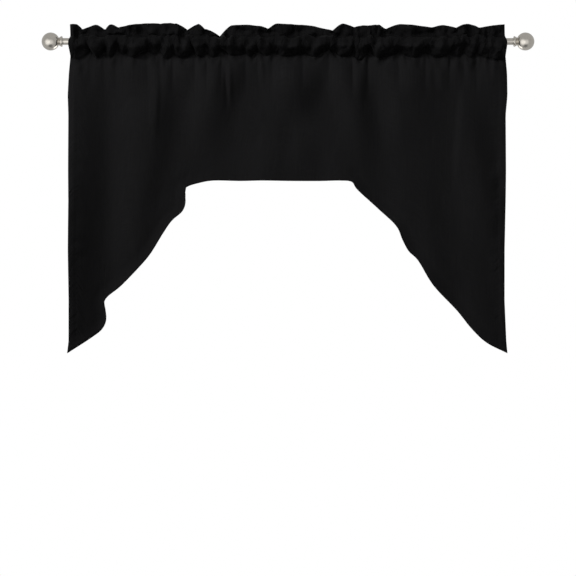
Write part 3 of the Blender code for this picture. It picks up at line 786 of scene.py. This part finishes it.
class ClothGrid:
    """The whole cloth as a grid of points, as it is sewn: up the back of the pocket from the
    turned-over edge, over the ruffle, down the pocket's front and down the swag to its hem."""

    def __init__(self, settings):
        columns = Columns(settings)
        rows = []
        for step in range(TURNED_ROWS):
            below = TURNED_LENGTH * (1 - step / TURNED_ROWS)
            depth = TURNED_DEPTH + columns.half_pitch
            rows.append((columns.seam, depth, columns.seam_z - below))
        back = ruffle_side(columns, 1, BACK_RUFFLE_ROWS)
        front = ruffle_side(columns, -1, RUFFLE_ROWS)
        rows += reversed(pocket_side(columns, 1, BACK_POCKET_ROWS))
        self.back_seam = TURNED_ROWS
        self.back_stitch = len(rows)
        rows += back
        rows += ruffle_fold(columns, front[-1], back[-1])
        self.top = len(rows)
        rows += front[::-1]
        self.stitch = len(rows) - 1
        rows += pocket_side(columns, -1, POCKET_ROWS)
        self.seam = len(rows) - 1
        rows += hanging_rows(columns)
        self.hem = len(rows) - 1
        rows = [(meet_side_edges(across, height), depth, height) for across, depth, height in rows]
        points = np.array([np.stack(row, axis=1) for row in rows])

        # Creases and ruches stand on the cloth's own surface, from the ruffle's front downwards
        across, height = points[self.top:, :, 0], points[self.top:, :, 2]
        relief = crease_depth(across, height, HEADING_CREASES + small_creases())
        relief += crease_depth(across, height, side_puckers())
        relief += ruches(columns, points[self.top:], settings.flat_width)
        relief *= smooth_step(0.0, RELIEF_INSET, columns.inset)
        moved = outward(points)[self.top:] * relief[..., None]
        moved[:RUFFLE_ROWS + 1] *= (0.0, 1.0, 0.0)  # the ruffle's outline stays as it is
        points[self.top:] += moved
        self.move_ruffle_back(points, moved[:RUFFLE_ROWS + 1])

        # The pocket's front never comes closer to the rod than the cloth that lies on it
        pocket = points[self.stitch:self.seam + 1]
        from_rod = np.hypot(pocket[..., 1], pocket[..., 2])
        pocket[..., 1:] *= np.maximum(columns.wrap / from_rod, 1.0)[..., None]

        self.main = points
        hem_width = widths_up(points[self.hem], settings.hem_width)
        hem = turned_back(points, outward(points), hem_width)
        points = np.concatenate([points, hem])
        sideways, normals = points.transpose(1, 0, 2), outward(points).transpose(1, 0, 2)
        width = np.full(len(points), settings.hem_width)
        right = turned_back(sideways, normals, width)
        left = turned_back(sideways[::-1], normals[::-1], width)
        self.points = np.concatenate([left[::-1], sideways, right]).transpose(1, 0, 2)
        # How near each column lies to a gather, which sets the painted shade in the gathers' creases
        self.creased = np.pad(1.0 - columns.lobe, len(right), mode="edge")

    def move_ruffle_back(self, points, moved):
        """Gives the ruffle's fold and back the ruches of its front, which fade behind the rod."""
        points[self.top - FOLD_ROWS:self.top] += moved[0]
        for step in range(BACK_RUFFLE_ROWS + 1):
            place = RUFFLE_ROWS * (1 - step / BACK_RUFFLE_ROWS)
            above = int(place)
            below = min(above + 1, RUFFLE_ROWS)
            between = moved[above] + (moved[below] - moved[above]) * (place - above)
            points[self.back_stitch + step] += between
        for step in range(1, RUCHES_FADE_ROWS):
            points[self.back_stitch - step] += moved[-1] * (1 - step / RUCHES_FADE_ROWS)

    def flat_places(self, settings):
        """Each point's place on the flat cloth: how far across it lies and how far down."""
        steps = np.linalg.norm(np.diff(self.points, axis=0), axis=2)
        down = np.concatenate([np.zeros((1, steps.shape[1])), np.cumsum(steps, axis=0)])
        across = np.linspace(0.0, settings.flat_width, self.points.shape[1])
        return np.broadcast_to(across, down.shape), down

    def painted_shade_and_puckers(self, settings):
        """The painted shade of the gathered heading at each point, and how much its side hem puckers
        it.
        """
        height = self.points[..., 2]
        below_seam = height[self.seam] - height
        # Painted shade: full over the heading and fading out below the pocket, changed down the
        # pocket's front, at its top under the ruffle and in the gathers' creases
        gathered = 1.0 - smooth_step(0.0, GATHERED_SHADE_FADE, below_seam)
        front = POCKET_FOOT_SHADE + (1.0 - POCKET_FOOT_SHADE) * smooth_step(*POCKET_FOOT_HEIGHTS, height)
        front += POCKET_TOP_SHADE * np.exp(-(((height - POCKET_TOP_AT) / POCKET_TOP_SPREAD) ** 2))
        front += CREASE_SHADE * self.creased * smooth_step(*CREASED_HEIGHTS, height)
        gathered = gathered * front
        across = self.flat_places(settings)[0]
        inset = np.minimum(across, settings.flat_width - across)
        puckered = 1.0 - smooth_step(PUCKER_REACH / 2, PUCKER_REACH, inset)
        puckered = puckered * smooth_step(*PUCKER_DROP, below_seam)
        # The attribute gathered carries that painted shade, and the material also crinkles by it
        return ("gathered", gathered), ("puckered", puckered)


# Node groups and materials


def new_group(name, inputs, outputs):
    group = bpy.data.node_groups.new(name, "ShaderNodeTree")
    for label, kind, value in inputs:
        socket = group.interface.new_socket(label, in_out="INPUT", socket_type=kind)
        if value is not None:
            socket.default_value = value
    for label, kind in outputs:
        group.interface.new_socket(label, in_out="OUTPUT", socket_type=kind)
    return group, group.nodes.new("NodeGroupInput"), group.nodes.new("NodeGroupOutput")


def math_node(tree, operation, first, second=None, third=None):
    """A Math node with its inputs linked, where they are sockets, or set, where they are numbers."""
    node = tree.nodes.new("ShaderNodeMath")
    node.operation = operation
    for socket, value in zip(node.inputs, (first, second, third)):
        if isinstance(value, (int, float)):
            socket.default_value = value
        elif value is not None:
            tree.links.new(value, socket)
    return node.outputs[0]


def noise_node(tree, vector, scale, detail, swirl=0.0):
    """Noise of about 0.2 to 0.8, with its own scale along each axis of a vector."""
    mapping = tree.nodes.new("ShaderNodeMapping")
    mapping.inputs["Scale"].default_value = scale
    tree.links.new(vector, mapping.inputs["Vector"])
    texture = tree.nodes.new("ShaderNodeTexNoise")
    for label, value in (("Scale", 1.0), ("Detail", detail), ("Distortion", swirl)):
        texture.inputs[label].default_value = value
    tree.links.new(mapping.outputs[0], texture.inputs["Vector"])
    return texture.outputs["Fac"]


def weave_group():
    """Plain weave: threads that pass over and under each other, on a vector in metres."""
    group, given, result = new_group(
        "Plain weave",
        [("Vector", "NodeSocketVector", None), ("Pitch", "NodeSocketFloat", 0.00045)],
        [("Height", "NodeSocketFloat"), ("Gap", "NodeSocketFloat"), ("Slub", "NodeSocketFloat")],
    )
    apart = group.nodes.new("ShaderNodeSeparateXYZ")
    group.links.new(given.outputs["Vector"], apart.inputs[0])
    waves = []
    for axis in ("X", "Y"):
        turns = math_node(group, "DIVIDE", apart.outputs[axis], given.outputs["Pitch"])
        angle = math_node(group, "MULTIPLY", turns, math.pi)
        waves.append(math_node(group, "SINE", angle))
    warp, weft = (math_node(group, "ABSOLUTE", wave) for wave in waves)
    over = math_node(group, "GREATER_THAN", math_node(group, "MULTIPLY", *waves), 0.0)
    crowned = [math_node(group, "MULTIPLY_ADD", wave, CROWN, 1.0 - CROWN) for wave in (weft, warp)]
    warp_on_top = math_node(group, "MULTIPLY", warp, crowned[0])
    weft_on_top = math_node(group, "MULTIPLY", weft, crowned[1])
    mix = group.nodes.new("ShaderNodeMix")
    group.links.new(over, mix.inputs["Factor"])
    group.links.new(weft_on_top, mix.inputs["A"])
    group.links.new(warp_on_top, mix.inputs["B"])
    height = mix.outputs["Result"]
    group.links.new(height, result.inputs["Height"])
    group.links.new(math_node(group, "SUBTRACT", 1.0, height), result.inputs["Gap"])
    upright = noise_node(group, given.outputs["Vector"], (900.0, 12.0, 1.0), detail=2.0)
    level = noise_node(group, given.outputs["Vector"], (12.0, 900.0, 1.0), detail=2.0)
    slub = math_node(group, "ADD", upright, level)
    group.links.new(math_node(group, "SUBTRACT", slub, 1.0), result.inputs["Slub"])
    return group


def polish_group():
    """Fine lines and clouding of plated metal, along the rod's axis, on a vector in metres."""
    group, given, result = new_group(
        "Satin plating",
        [("Vector", "NodeSocketVector", None), ("Lines", "NodeSocketFloat", 0.06)],
        [("Tone", "NodeSocketFloat"), ("Lines", "NodeSocketFloat"), ("Cloud", "NodeSocketFloat")],
    )
    lines = noise_node(group, given.outputs["Vector"], (40.0, 2500.0, 2500.0), detail=3.0)
    cloud = noise_node(group, given.outputs["Vector"], (60.0, 60.0, 60.0), detail=4.0)
    group.links.new(lines, result.inputs["Lines"])
    group.links.new(cloud, result.inputs["Cloud"])
    centred = math_node(group, "SUBTRACT", lines, 0.5)
    tone = math_node(group, "MULTIPLY_ADD", centred, given.outputs["Lines"], cloud)
    group.links.new(tone, result.inputs["Tone"])
    return group


def use_group(tree, make, name, vector):
    group = bpy.data.node_groups.get(name) or make()
    node = tree.nodes.new("ShaderNodeGroup")
    node.node_tree = group
    tree.links.new(vector, node.inputs["Vector"])
    return node


def ramp_node(tree, value, low, high, start=0.0, end=1.0):
    """A value mapped from start..end to low..high, which are numbers."""
    ramp = tree.nodes.new("ShaderNodeMapRange")
    for label, number in (("From Min", start), ("From Max", end), ("To Min", low), ("To Max", high)):
        ramp.inputs[label].default_value = number
    tree.links.new(value, ramp.inputs["Value"])
    return ramp.outputs[0]


def shade_node(tree, colour, factor):
    """A colour made lighter or darker by a factor that changes over the surface."""
    shade = tree.nodes.new("ShaderNodeVectorMath")
    shade.operation = "SCALE"
    shade.inputs[0].default_value = colour
    tree.links.new(factor, shade.inputs["Scale"])
    return shade.outputs[0]


def attribute_node(tree, name):
    attribute = tree.nodes.new("ShaderNodeAttribute")
    attribute.attribute_name = name
    return attribute.outputs["Fac"]


def bump_node(tree, height, distance, strength, under=None):
    """Relief in which a height of 1 stands out by a distance, over the relief under it."""
    bump = tree.nodes.new("ShaderNodeBump")
    bump.inputs["Distance"].default_value = distance
    bump.inputs["Strength"].default_value = strength
    tree.links.new(height, bump.inputs["Height"])
    if under is not None:
        tree.links.new(under, bump.inputs["Normal"])
    return bump.outputs[0]


def new_material(name, roughness, metallic=0.0):
    look = bpy.data.materials.new(name)
    look.use_nodes = True
    shader = look.node_tree.nodes["Principled BSDF"]
    shader.inputs["Roughness"].default_value = roughness
    shader.inputs["Metallic"].default_value = metallic
    return look, look.node_tree, shader


def black_cloth(settings):
    """Closely woven black cloth with a faint satin sheen, scrunched where it is gathered, with painted
    shade on its heading and in the weave's gaps.
    """
    look, tree, shader = new_material("Black cloth", roughness=0.55)
    shader.inputs["Specular IOR Level"].default_value = 0.04
    shader.inputs["Sheen Weight"].default_value = 0.01
    shader.inputs["Sheen Roughness"].default_value = 0.4
    place = tree.nodes.new("ShaderNodeUVMap")
    place.uv_map = "UVMap"
    weave = use_group(tree, weave_group, "Plain weave", place.outputs[0])
    weave.inputs["Pitch"].default_value = settings.thread_pitch
    # gathered holds the heading's painted shade, and also sets how far the cloth crinkles
    gathered = attribute_node(tree, "gathered")
    puckered = attribute_node(tree, "puckered")

    fade = noise_node(tree, place.outputs[0], (3.0, 3.0, 1.0), detail=3.0)
    fade = ramp_node(tree, fade, 0.90, 1.10, start=0.3, end=0.7)
    tone = math_node(tree, "ADD", fade, weave.outputs["Slub"])
    # Painted shade: darker in the weave's gaps between the threads, a little lighter on their crowns
    gap_shade = ramp_node(tree, weave.outputs["Gap"], 1.12, 0.75)
    # Painted shade: the colour darkens over the gathered heading, round the pocket and in its creases
    darker = ramp_node(tree, gathered, 1.0, 0.40, start=0.5, end=1.15)
    tone = math_node(tree, "MULTIPLY", tone, darker)
    tree.links.new(
        shade_node(tree, settings.colour, math_node(tree, "MULTIPLY", tone, gap_shade)),
        shader.inputs["Base Color"],
    )
    gloss = ramp_node(tree, weave.outputs["Slub"], 0.50, 0.62, start=-0.3, end=0.3)
    tree.links.new(gloss, shader.inputs["Roughness"])

    cockle = noise_node(tree, place.outputs[0], (22.0, 14.0, 1.0), detail=2.0)
    crinkle = noise_node(tree, place.outputs[0], (50.0, 32.0, 1.0), detail=1.5, swirl=1.2)
    crinkle = math_node(tree, "MULTIPLY", crinkle, gathered)
    pucker = noise_node(tree, place.outputs[0], (26.0, 66.0, 1.0), detail=1.5, swirl=0.6)
    patches = noise_node(tree, place.outputs[0], (5.0, 8.0, 1.0), detail=1.0)
    patches = ramp_node(tree, patches, 0.0, 1.0, start=0.40, end=0.65)
    pucker = math_node(tree, "MULTIPLY", pucker, math_node(tree, "MULTIPLY", puckered, patches))
    normal = bump_node(tree, cockle, distance=0.0010, strength=0.6)
    normal = bump_node(tree, crinkle, distance=0.0060, strength=0.8, under=normal)
    normal = bump_node(tree, pucker, distance=0.0045, strength=0.8, under=normal)
    normal = bump_node(tree, weave.outputs["Height"], distance=0.00010, strength=0.5, under=normal)
    tree.links.new(normal, shader.inputs["Normal"])
    return look


def black_thread(settings):
    """Twisted sewing thread, of nearly the same black as the cloth."""
    look, tree, shader = new_material("Black thread", roughness=0.6)
    shader.inputs["Specular IOR Level"].default_value = 0.15
    place = tree.nodes.new("ShaderNodeTexCoord")
    twist = noise_node(tree, place.outputs["Object"], (900.0, 900.0, 900.0), detail=2.0)
    tone = ramp_node(tree, twist, 0.75, 1.3, start=0.3, end=0.7)
    tree.links.new(shade_node(tree, settings.colour, tone), shader.inputs["Base Color"])
    tree.links.new(bump_node(tree, twist, distance=0.0001, strength=0.6), shader.inputs["Normal"])
    return look


def satin_nickel(settings):
    """Satin nickel plate, faintly lined along the rod, with soft clouding."""
    name = "Satin nickel"
    if name in bpy.data.materials:
        return bpy.data.materials[name]
    look, tree, shader = new_material(name, roughness=0.22, metallic=1.0)
    place = tree.nodes.new("ShaderNodeTexCoord")
    polish = use_group(tree, polish_group, "Satin plating", place.outputs["Object"])
    polish.inputs["Lines"].default_value = 0.35
    tone = ramp_node(tree, polish.outputs["Tone"], 0.92, 1.08, start=0.3, end=0.7)
    tree.links.new(shade_node(tree, settings.colour, tone), shader.inputs["Base Color"])
    rough = ramp_node(tree, polish.outputs["Tone"], 0.17, 0.27, start=0.3, end=0.7)
    tree.links.new(rough, shader.inputs["Roughness"])
    lined = bump_node(tree, polish.outputs["Lines"], distance=0.00002, strength=0.3)
    tree.links.new(lined, shader.inputs["Normal"])
    return look


# Objects


def select_only(obj):
    bpy.ops.object.select_all(action="DESELECT")
    obj.select_set(True)
    bpy.context.view_layer.objects.active = obj


def name_piece(obj, name):
    obj.name = obj.data.name = name
    return obj


def dress(obj, look):
    """Gives a finished piece its material and its body."""
    obj.data.materials.clear()
    obj.data.materials.append(look)
    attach(obj, "root")


def apply_modifiers(obj):
    select_only(obj)
    for modifier in list(obj.modifiers):
        bpy.ops.object.modifier_apply(modifier=modifier.name)


class SWAG_OT_stitching(Operator):
    """Adds the rows of stitches along the heading, the hem and the sides"""

    bl_idname = "swag.add_stitching"
    bl_label = "Stitching"

    def execute(self, context):
        settings, cloth = context.scene.swag_stitch, context.scene.swag_cloth
        grid = ClothGrid(cloth)
        rows = [self.row_of_stitches(settings, line) for line in self.lines(grid, cloth, settings)]
        bpy.ops.object.select_all(action="DESELECT")
        for row in rows:
            row.select_set(True)
        context.view_layer.objects.active = rows[0]
        bpy.ops.object.join()
        stitching = name_piece(rows[0], "swag_stitching")
        stitching.data.shade_smooth()
        dress(stitching, black_thread(settings))
        return {"FINISHED"}

    def lines(self, grid, cloth, settings):
        """The lines that the stitches follow, on both faces of the cloth."""
        points, normals = grid.main, outward(grid.main)
        proud = cloth.thickness / 2 + settings.thread * THREAD_PROUD
        for row in (grid.stitch, grid.seam, grid.back_stitch, grid.back_seam):
            yield points[row] + normals[row] * proud
        behind = -(LAYER_PITCH + proud)
        inset = cloth.hem_width - STITCH_INSIDE_HEM
        body = slice(grid.seam + SIDE_STITCH_ROW, grid.hem + 1)
        for offset in (proud, behind):
            shifted = points + normals * offset
            yield self.line_inside(shifted[grid.seam:], inset, True)
            yield self.line_inside(shifted[body].transpose(1, 0, 2)[::-1], inset, False)
            yield self.line_inside(shifted[body].transpose(1, 0, 2), inset, False)

    def line_inside(self, points, inset, slanting):
        """The line that runs inside a grid's last row, at the same distance all along it."""
        edge = points[-1]
        widths = widths_up(edge, inset) if slanting else np.full(len(edge), inset)
        line = np.zeros((len(edge), 3))
        for column in range(len(edge)):
            strip = points[::-1, column]
            line[column] = walked_along(strip, lengths_along(strip), widths[column])
        return line

    def row_of_stitches(self, settings, line):
        """One stitch, repeated along a line."""
        path = bpy.data.curves.new("stitch line", "CURVE")
        path.dimensions = "3D"
        spline = path.splines.new("POLY")
        spline.points.add(len(line) - 1)
        spline.points.foreach_set("co", np.column_stack([line, np.ones(len(line))]).ravel())
        guide = bpy.data.objects.new("stitch line", path)
        bpy.context.collection.objects.link(guide)

        bpy.ops.object.select_all(action="DESELECT")
        bpy.ops.mesh.primitive_uv_sphere_add(segments=5, ring_count=4, radius=settings.thread / 2)
        stitch = bpy.context.object
        stitch.scale = (settings.length / settings.thread, 1.0, 1.0)
        bpy.ops.object.transform_apply(location=True, rotation=True, scale=True)
        pitch = settings.length + settings.gap
        repeat = stitch.modifiers.new("Row", "ARRAY")
        repeat.use_relative_offset = False
        repeat.use_constant_offset = True
        repeat.constant_offset_displace = (pitch, 0.0, 0.0)
        repeat.count = int(lengths_along(line)[-1] / pitch)
        bend = stitch.modifiers.new("Along the line", "CURVE")
        bend.object = guide
        apply_modifiers(stitch)
        bpy.data.objects.remove(guide)
        return stitch


class SWAG_OT_cloth(Operator):
    """Adds the swag's cloth, gathered on the rod"""

    bl_idname = "swag.add_cloth"
    bl_label = "Cloth"

    def execute(self, context):
        settings = context.scene.swag_cloth
        grid = ClothGrid(settings)
        row_count, column_count = grid.points.shape[:2]
        bpy.ops.object.select_all(action="DESELECT")
        bpy.ops.mesh.primitive_grid_add(
            x_subdivisions=column_count - 1, y_subdivisions=row_count - 1, size=1.0
        )
        cloth = name_piece(context.object, "swag_cloth")
        mesh = cloth.data
        mesh.vertices.foreach_set("co", grid.points.astype(np.float32).ravel())
        across, down = (place.ravel() for place in grid.flat_places(settings))
        corners = np.zeros(len(mesh.loops), np.int32)
        mesh.loops.foreach_get("vertex_index", corners)
        places = np.column_stack([across[corners], down[corners]]).astype(np.float32)
        mesh.uv_layers[0].data.foreach_set("uv", places.ravel())
        # Stores the heading's painted shade as gathered, and the side hems' puckers
        for name, share in grid.painted_shade_and_puckers(settings):
            attribute = mesh.attributes.new(name, "FLOAT", "POINT")
            attribute.data.foreach_set("value", share.astype(np.float32).ravel())
        mesh.update()
        mesh.shade_smooth()
        wall = cloth.modifiers.new("Thickness", "SOLIDIFY")
        wall.thickness = settings.thickness
        wall.offset = 0.0
        apply_modifiers(cloth)
        dress(cloth, black_cloth(settings))
        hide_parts("swag")
        self.flat_area(grid, settings)
        return {"FINISHED"}

    def flat_area(self, grid, settings):
        """The cut's area: a strip as wide as a column's share, and as long as that column."""
        down = grid.flat_places(settings)[1][-1]
        return float(np.mean(down)) * settings.flat_width


class SWAG_OT_rod(Operator):
    """Adds the rod's tube"""

    bl_idname = "swag.add_rod"
    bl_label = "Rod"

    def execute(self, context):
        settings = context.scene.swag_rod
        bpy.ops.object.select_all(action="DESELECT")
        bpy.ops.mesh.primitive_cylinder_add(
            vertices=settings.steps, radius=ROD_RADIUS, depth=2 * ROD_END,
            end_fill_type="NOTHING", rotation=(0.0, math.pi / 2, 0.0),
        )
        rod = name_piece(context.object, "rod_tube")
        bpy.ops.object.transform_apply(location=True, rotation=True, scale=True)
        wall = rod.modifiers.new("Wall", "SOLIDIFY")
        wall.thickness = settings.wall
        wall.offset = -1.0
        rim = rod.modifiers.new("Rim", "BEVEL")
        rim.width = RIM_BEVEL
        rim.segments = 2
        rim.limit_method = "ANGLE"
        apply_modifiers(rod)
        bpy.ops.object.shade_smooth_by_angle(angle=math.radians(40))
        dress(rod, satin_nickel(settings))
        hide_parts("rod")
        return {"FINISHED"}


def finial_profile():
    """Radius and distance from the ball's centre, from the ball's outer pole to the spigot."""
    meets_neck = math.pi - math.asin(NECK_AND_FLANGE[0].radius / BALL_RADIUS)
    profile = []
    for step in range(BALL_STEPS + 1):
        turn = meets_neck * step / BALL_STEPS
        profile.append((BALL_RADIUS * math.sin(turn), -BALL_RADIUS * math.cos(turn)))
    profile += [tuple(point) for point in spline_through(NECK_AND_FLANGE, 3)]
    foot = NECK_AND_FLANGE[-1].from_ball
    profile.append((SPIGOT_RADIUS, foot))
    profile.append((SPIGOT_RADIUS, foot + SPIGOT_LENGTH - SPIGOT_CHAMFER))
    profile.append((SPIGOT_RADIUS - SPIGOT_CHAMFER, foot + SPIGOT_LENGTH))
    profile.append((0.0, foot + SPIGOT_LENGTH))
    return profile


class SWAG_OT_finials(Operator):
    """Adds the two turned ball finials"""

    bl_idname = "swag.add_finials"
    bl_label = "Finials"

    def execute(self, context):
        settings = context.scene.swag_rod
        for side, node in ((-1, "finial_left"), (1, "finial_right")):
            centre = side * (BALL_TIP - BALL_RADIUS)
            places = [Vector((centre - side * x, 0.0, r)) for r, x in finial_profile()]
            finial = name_piece(self.turned(places, settings.steps), node + "_turned")
            bpy.ops.object.shade_smooth_by_angle(angle=math.radians(35))
            dress(finial, satin_nickel(settings))
            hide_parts(node)
        return {"FINISHED"}

    def turned(self, places, steps):
        """A profile drawn point by point and turned round the rod's axis."""
        bpy.ops.object.select_all(action="DESELECT")
        bpy.ops.mesh.primitive_plane_add(size=0.001)
        finial = bpy.context.object
        bpy.ops.object.mode_set(mode="EDIT")
        bpy.ops.mesh.select_all(action="SELECT")
        bpy.ops.mesh.merge(type="CENTER")
        bpy.ops.transform.translate(value=places[0])
        for here, there in zip(places, places[1:]):
            bpy.ops.mesh.extrude_vertices_move(TRANSFORM_OT_translate={"value": there - here})
        bpy.ops.mesh.select_all(action="SELECT")
        bpy.ops.mesh.spin(steps=steps, angle=math.tau, center=(0.0, 0.0, 0.0), axis=(1.0, 0.0, 0.0))
        bpy.ops.mesh.select_all(action="SELECT")
        bpy.ops.mesh.remove_doubles(threshold=0.00001)
        bpy.ops.mesh.normals_make_consistent(inside=False)
        bpy.ops.object.mode_set(mode="OBJECT")
        return finial


# Each soft light: its place and what it is turned to, its width, its share of the key light's
# power, and whether it lights the cloth or shows only as a glint on the metal
SoftLight = namedtuple("SoftLight", "name place target width share glint")
LIGHTS = [SoftLight(*row) for row in (
    ("Key light", (-13.0, -8.0, 6.5), (0.0, 0.0, -0.35), 5.6, 1.0, False),
    ("Top light", (-0.3, -1.2, 1.0), (0.0, 0.0, -0.35), 1.4, 0.0039, False),
    ("Back light", (5.0, 5.0, 2.2), (0.0, 0.0, -0.35), 2.6, 0.2, False),
    ("Left glint", (-0.30, 0.20, -0.40), (-0.66, 0.0, 0.0), 0.42, 0.00040, True),
    ("Right glint", (0.30, 0.20, -0.40), (0.66, 0.0, 0.0), 0.42, 0.00040, True),
)]
LIGHT_SHAPE = 0.75  # how high a light is, as a share of its width
SKY_FROM, SKY_FULL = -0.35, 0.8  # from -1 (down) to 1 (up), where the light from above sets in

# What the metal mirrors, over an even grey: which way each soft spot lies, how far from its middle,
# in degrees, it is still full and where it ends, and how bright it is. A dark spot is below zero.
MirroredSpot = namedtuple("MirroredSpot", "x y z full edge brightness")
MIRRORED = [MirroredSpot(*row) for row in (
    (-0.60, -0.77, -0.20, 12.0, 42.0, 1.00),
    (0.15, -0.96, -0.20, 8.0, 38.0, 0.55),
    (0.00, -0.46, -0.89, 6.0, 30.0, -0.40),
)]


class SWAG_OT_stage(Operator):
    """Adds the floor, the lights and the camera"""

    bl_idname = "swag.add_stage"
    bl_label = "Stage"

    def execute(self, context):
        settings = context.scene.swag_stage
        scene = context.scene
        scene.view_settings.view_transform = "Standard"
        scene.world = self.world(settings)
        for lamp in LIGHTS:
            light = self.area_light(lamp)
            light.data.energy = settings.key_power * lamp.share
            light.visible_glossy, light.visible_diffuse = lamp.glint, not lamp.glint
            light.visible_camera = False
        self.add_floor(settings)
        bpy.ops.object.camera_add(location=(0.0, -settings.camera_distance, settings.look_height))
        camera = context.object
        camera.rotation_euler = (math.pi / 2, 0.0, 0.0)
        camera.data.lens = camera.data.sensor_width * settings.camera_distance / settings.view_width
        scene.camera = camera
        return {"FINISHED"}

    def world(self, settings):
        """Even light that is bright from above and dim from below, soft spots for what is mirrored,
        and white where it is seen."""
        world = bpy.data.worlds.new("Studio")
        world.use_nodes = True
        tree = world.node_tree
        surround = tree.nodes["Background"]
        place = tree.nodes.new("ShaderNodeTexCoord")
        apart = tree.nodes.new("ShaderNodeSeparateXYZ")
        tree.links.new(place.outputs["Generated"], apart.inputs[0])
        strength = ramp_node(
            tree, apart.outputs["Z"], settings.light_below, settings.light_above, SKY_FROM, SKY_FULL
        )
        tree.links.new(strength, surround.inputs["Strength"])
        brightness = settings.mirrored
        for spot in MIRRORED:
            towards = tree.nodes.new("ShaderNodeVectorMath")
            towards.operation = "DOT_PRODUCT"
            towards.inputs[1].default_value = Vector((spot.x, spot.y, spot.z)).normalized()
            tree.links.new(place.outputs["Generated"], towards.inputs[0])
            edge, full = math.cos(math.radians(spot.edge)), math.cos(math.radians(spot.full))
            share = ramp_node(tree, towards.outputs["Value"], 0.0, 1.0, edge, full)
            brightness = math_node(tree, "MULTIPLY_ADD", share, spot.brightness, brightness)
        mirrored, seen = (tree.nodes.new("ShaderNodeBackground") for _ in range(2))
        tree.links.new(brightness, mirrored.inputs["Strength"])
        for light in (surround, mirrored, seen):
            light.inputs["Color"].default_value = (1.0, 1.0, 1.0, 1.0)
        ray = tree.nodes.new("ShaderNodeLightPath")
        lit = self.either(tree, ray.outputs["Is Glossy Ray"], surround, mirrored)
        shown = self.either(tree, ray.outputs["Is Camera Ray"], lit, seen)
        tree.links.new(shown.outputs[0], tree.nodes["World Output"].inputs["Surface"])
        return world

    def either(self, tree, second_if, first, second):
        choice = tree.nodes.new("ShaderNodeMixShader")
        tree.links.new(second_if, choice.inputs[0])
        tree.links.new(first.outputs[0], choice.inputs[1])
        tree.links.new(second.outputs[0], choice.inputs[2])
        return choice

    def area_light(self, lamp):
        bpy.ops.object.select_all(action="DESELECT")
        bpy.ops.object.light_add(type="AREA", location=lamp.place)
        light = bpy.context.object
        light.name = lamp.name
        light.data.shape = "RECTANGLE"
        light.data.size, light.data.size_y = lamp.width, LIGHT_SHAPE * lamp.width
        towards = Vector(lamp.target) - Vector(lamp.place)
        light.rotation_euler = towards.to_track_quat("-Z", "Y").to_euler()
        return light

    def add_floor(self, settings):
        bpy.ops.object.select_all(action="DESELECT")
        bpy.ops.mesh.primitive_circle_add(
            vertices=128, radius=settings.floor_radius, fill_type="NGON",
            location=(0.0, 0.0, settings.floor_height),
        )
        floor = name_piece(bpy.context.object, "floor")
        look, tree, shader = new_material("Pale floor", roughness=0.6)
        place = tree.nodes.new("ShaderNodeTexCoord")
        cloud = noise_node(tree, place.outputs["Object"], (1.5, 1.5, 1.5), detail=2.0)
        tone = ramp_node(tree, cloud, 0.98, 1.02, start=0.3, end=0.7)
        tree.links.new(shade_node(tree, settings.floor_colour, tone), shader.inputs["Base Color"])
        shader.inputs["Emission Color"].default_value = (*settings.floor_colour, 1.0)
        shader.inputs["Emission Strength"].default_value = settings.floor_glow
        floor.data.materials.append(look)
        floor.visible_diffuse = False
        floor.visible_glossy = False


class SWAG_PT_panel(Panel):
    """Lists the swag's pieces in the sidebar"""

    bl_idname = "SWAG_PT_panel"
    bl_label = "Window swag"
    bl_space_type = "VIEW_3D"
    bl_region_type = "UI"
    bl_category = "Swag"

    def draw(self, context):
        for operator in OPERATORS:
            self.layout.operator(operator.bl_idname)


SETTINGS = {
    "swag_cloth": SwagClothSettings,
    "swag_stitch": SwagStitchSettings,
    "swag_rod": SwagRodSettings,
    "swag_stage": SwagStageSettings,
}
OPERATORS = (SWAG_OT_stage, SWAG_OT_rod, SWAG_OT_finials, SWAG_OT_stitching, SWAG_OT_cloth)
CLASSES = (*SETTINGS.values(), *OPERATORS, SWAG_PT_panel)


def register():
    for cls in CLASSES:
        bpy.utils.register_class(cls)
    for name, group in SETTINGS.items():
        setattr(bpy.types.Scene, name, PointerProperty(type=group))


def unregister():
    for name in SETTINGS:
        delattr(bpy.types.Scene, name)
    for cls in reversed(CLASSES):
        bpy.utils.unregister_class(cls)


def main():
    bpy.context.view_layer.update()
    register()
    bpy.ops.swag.add_stage()
    bpy.ops.swag.add_rod()
    bpy.ops.swag.add_finials()
    bpy.ops.swag.add_stitching()
    bpy.ops.swag.add_cloth()


if __name__ == "__main__":
    main()
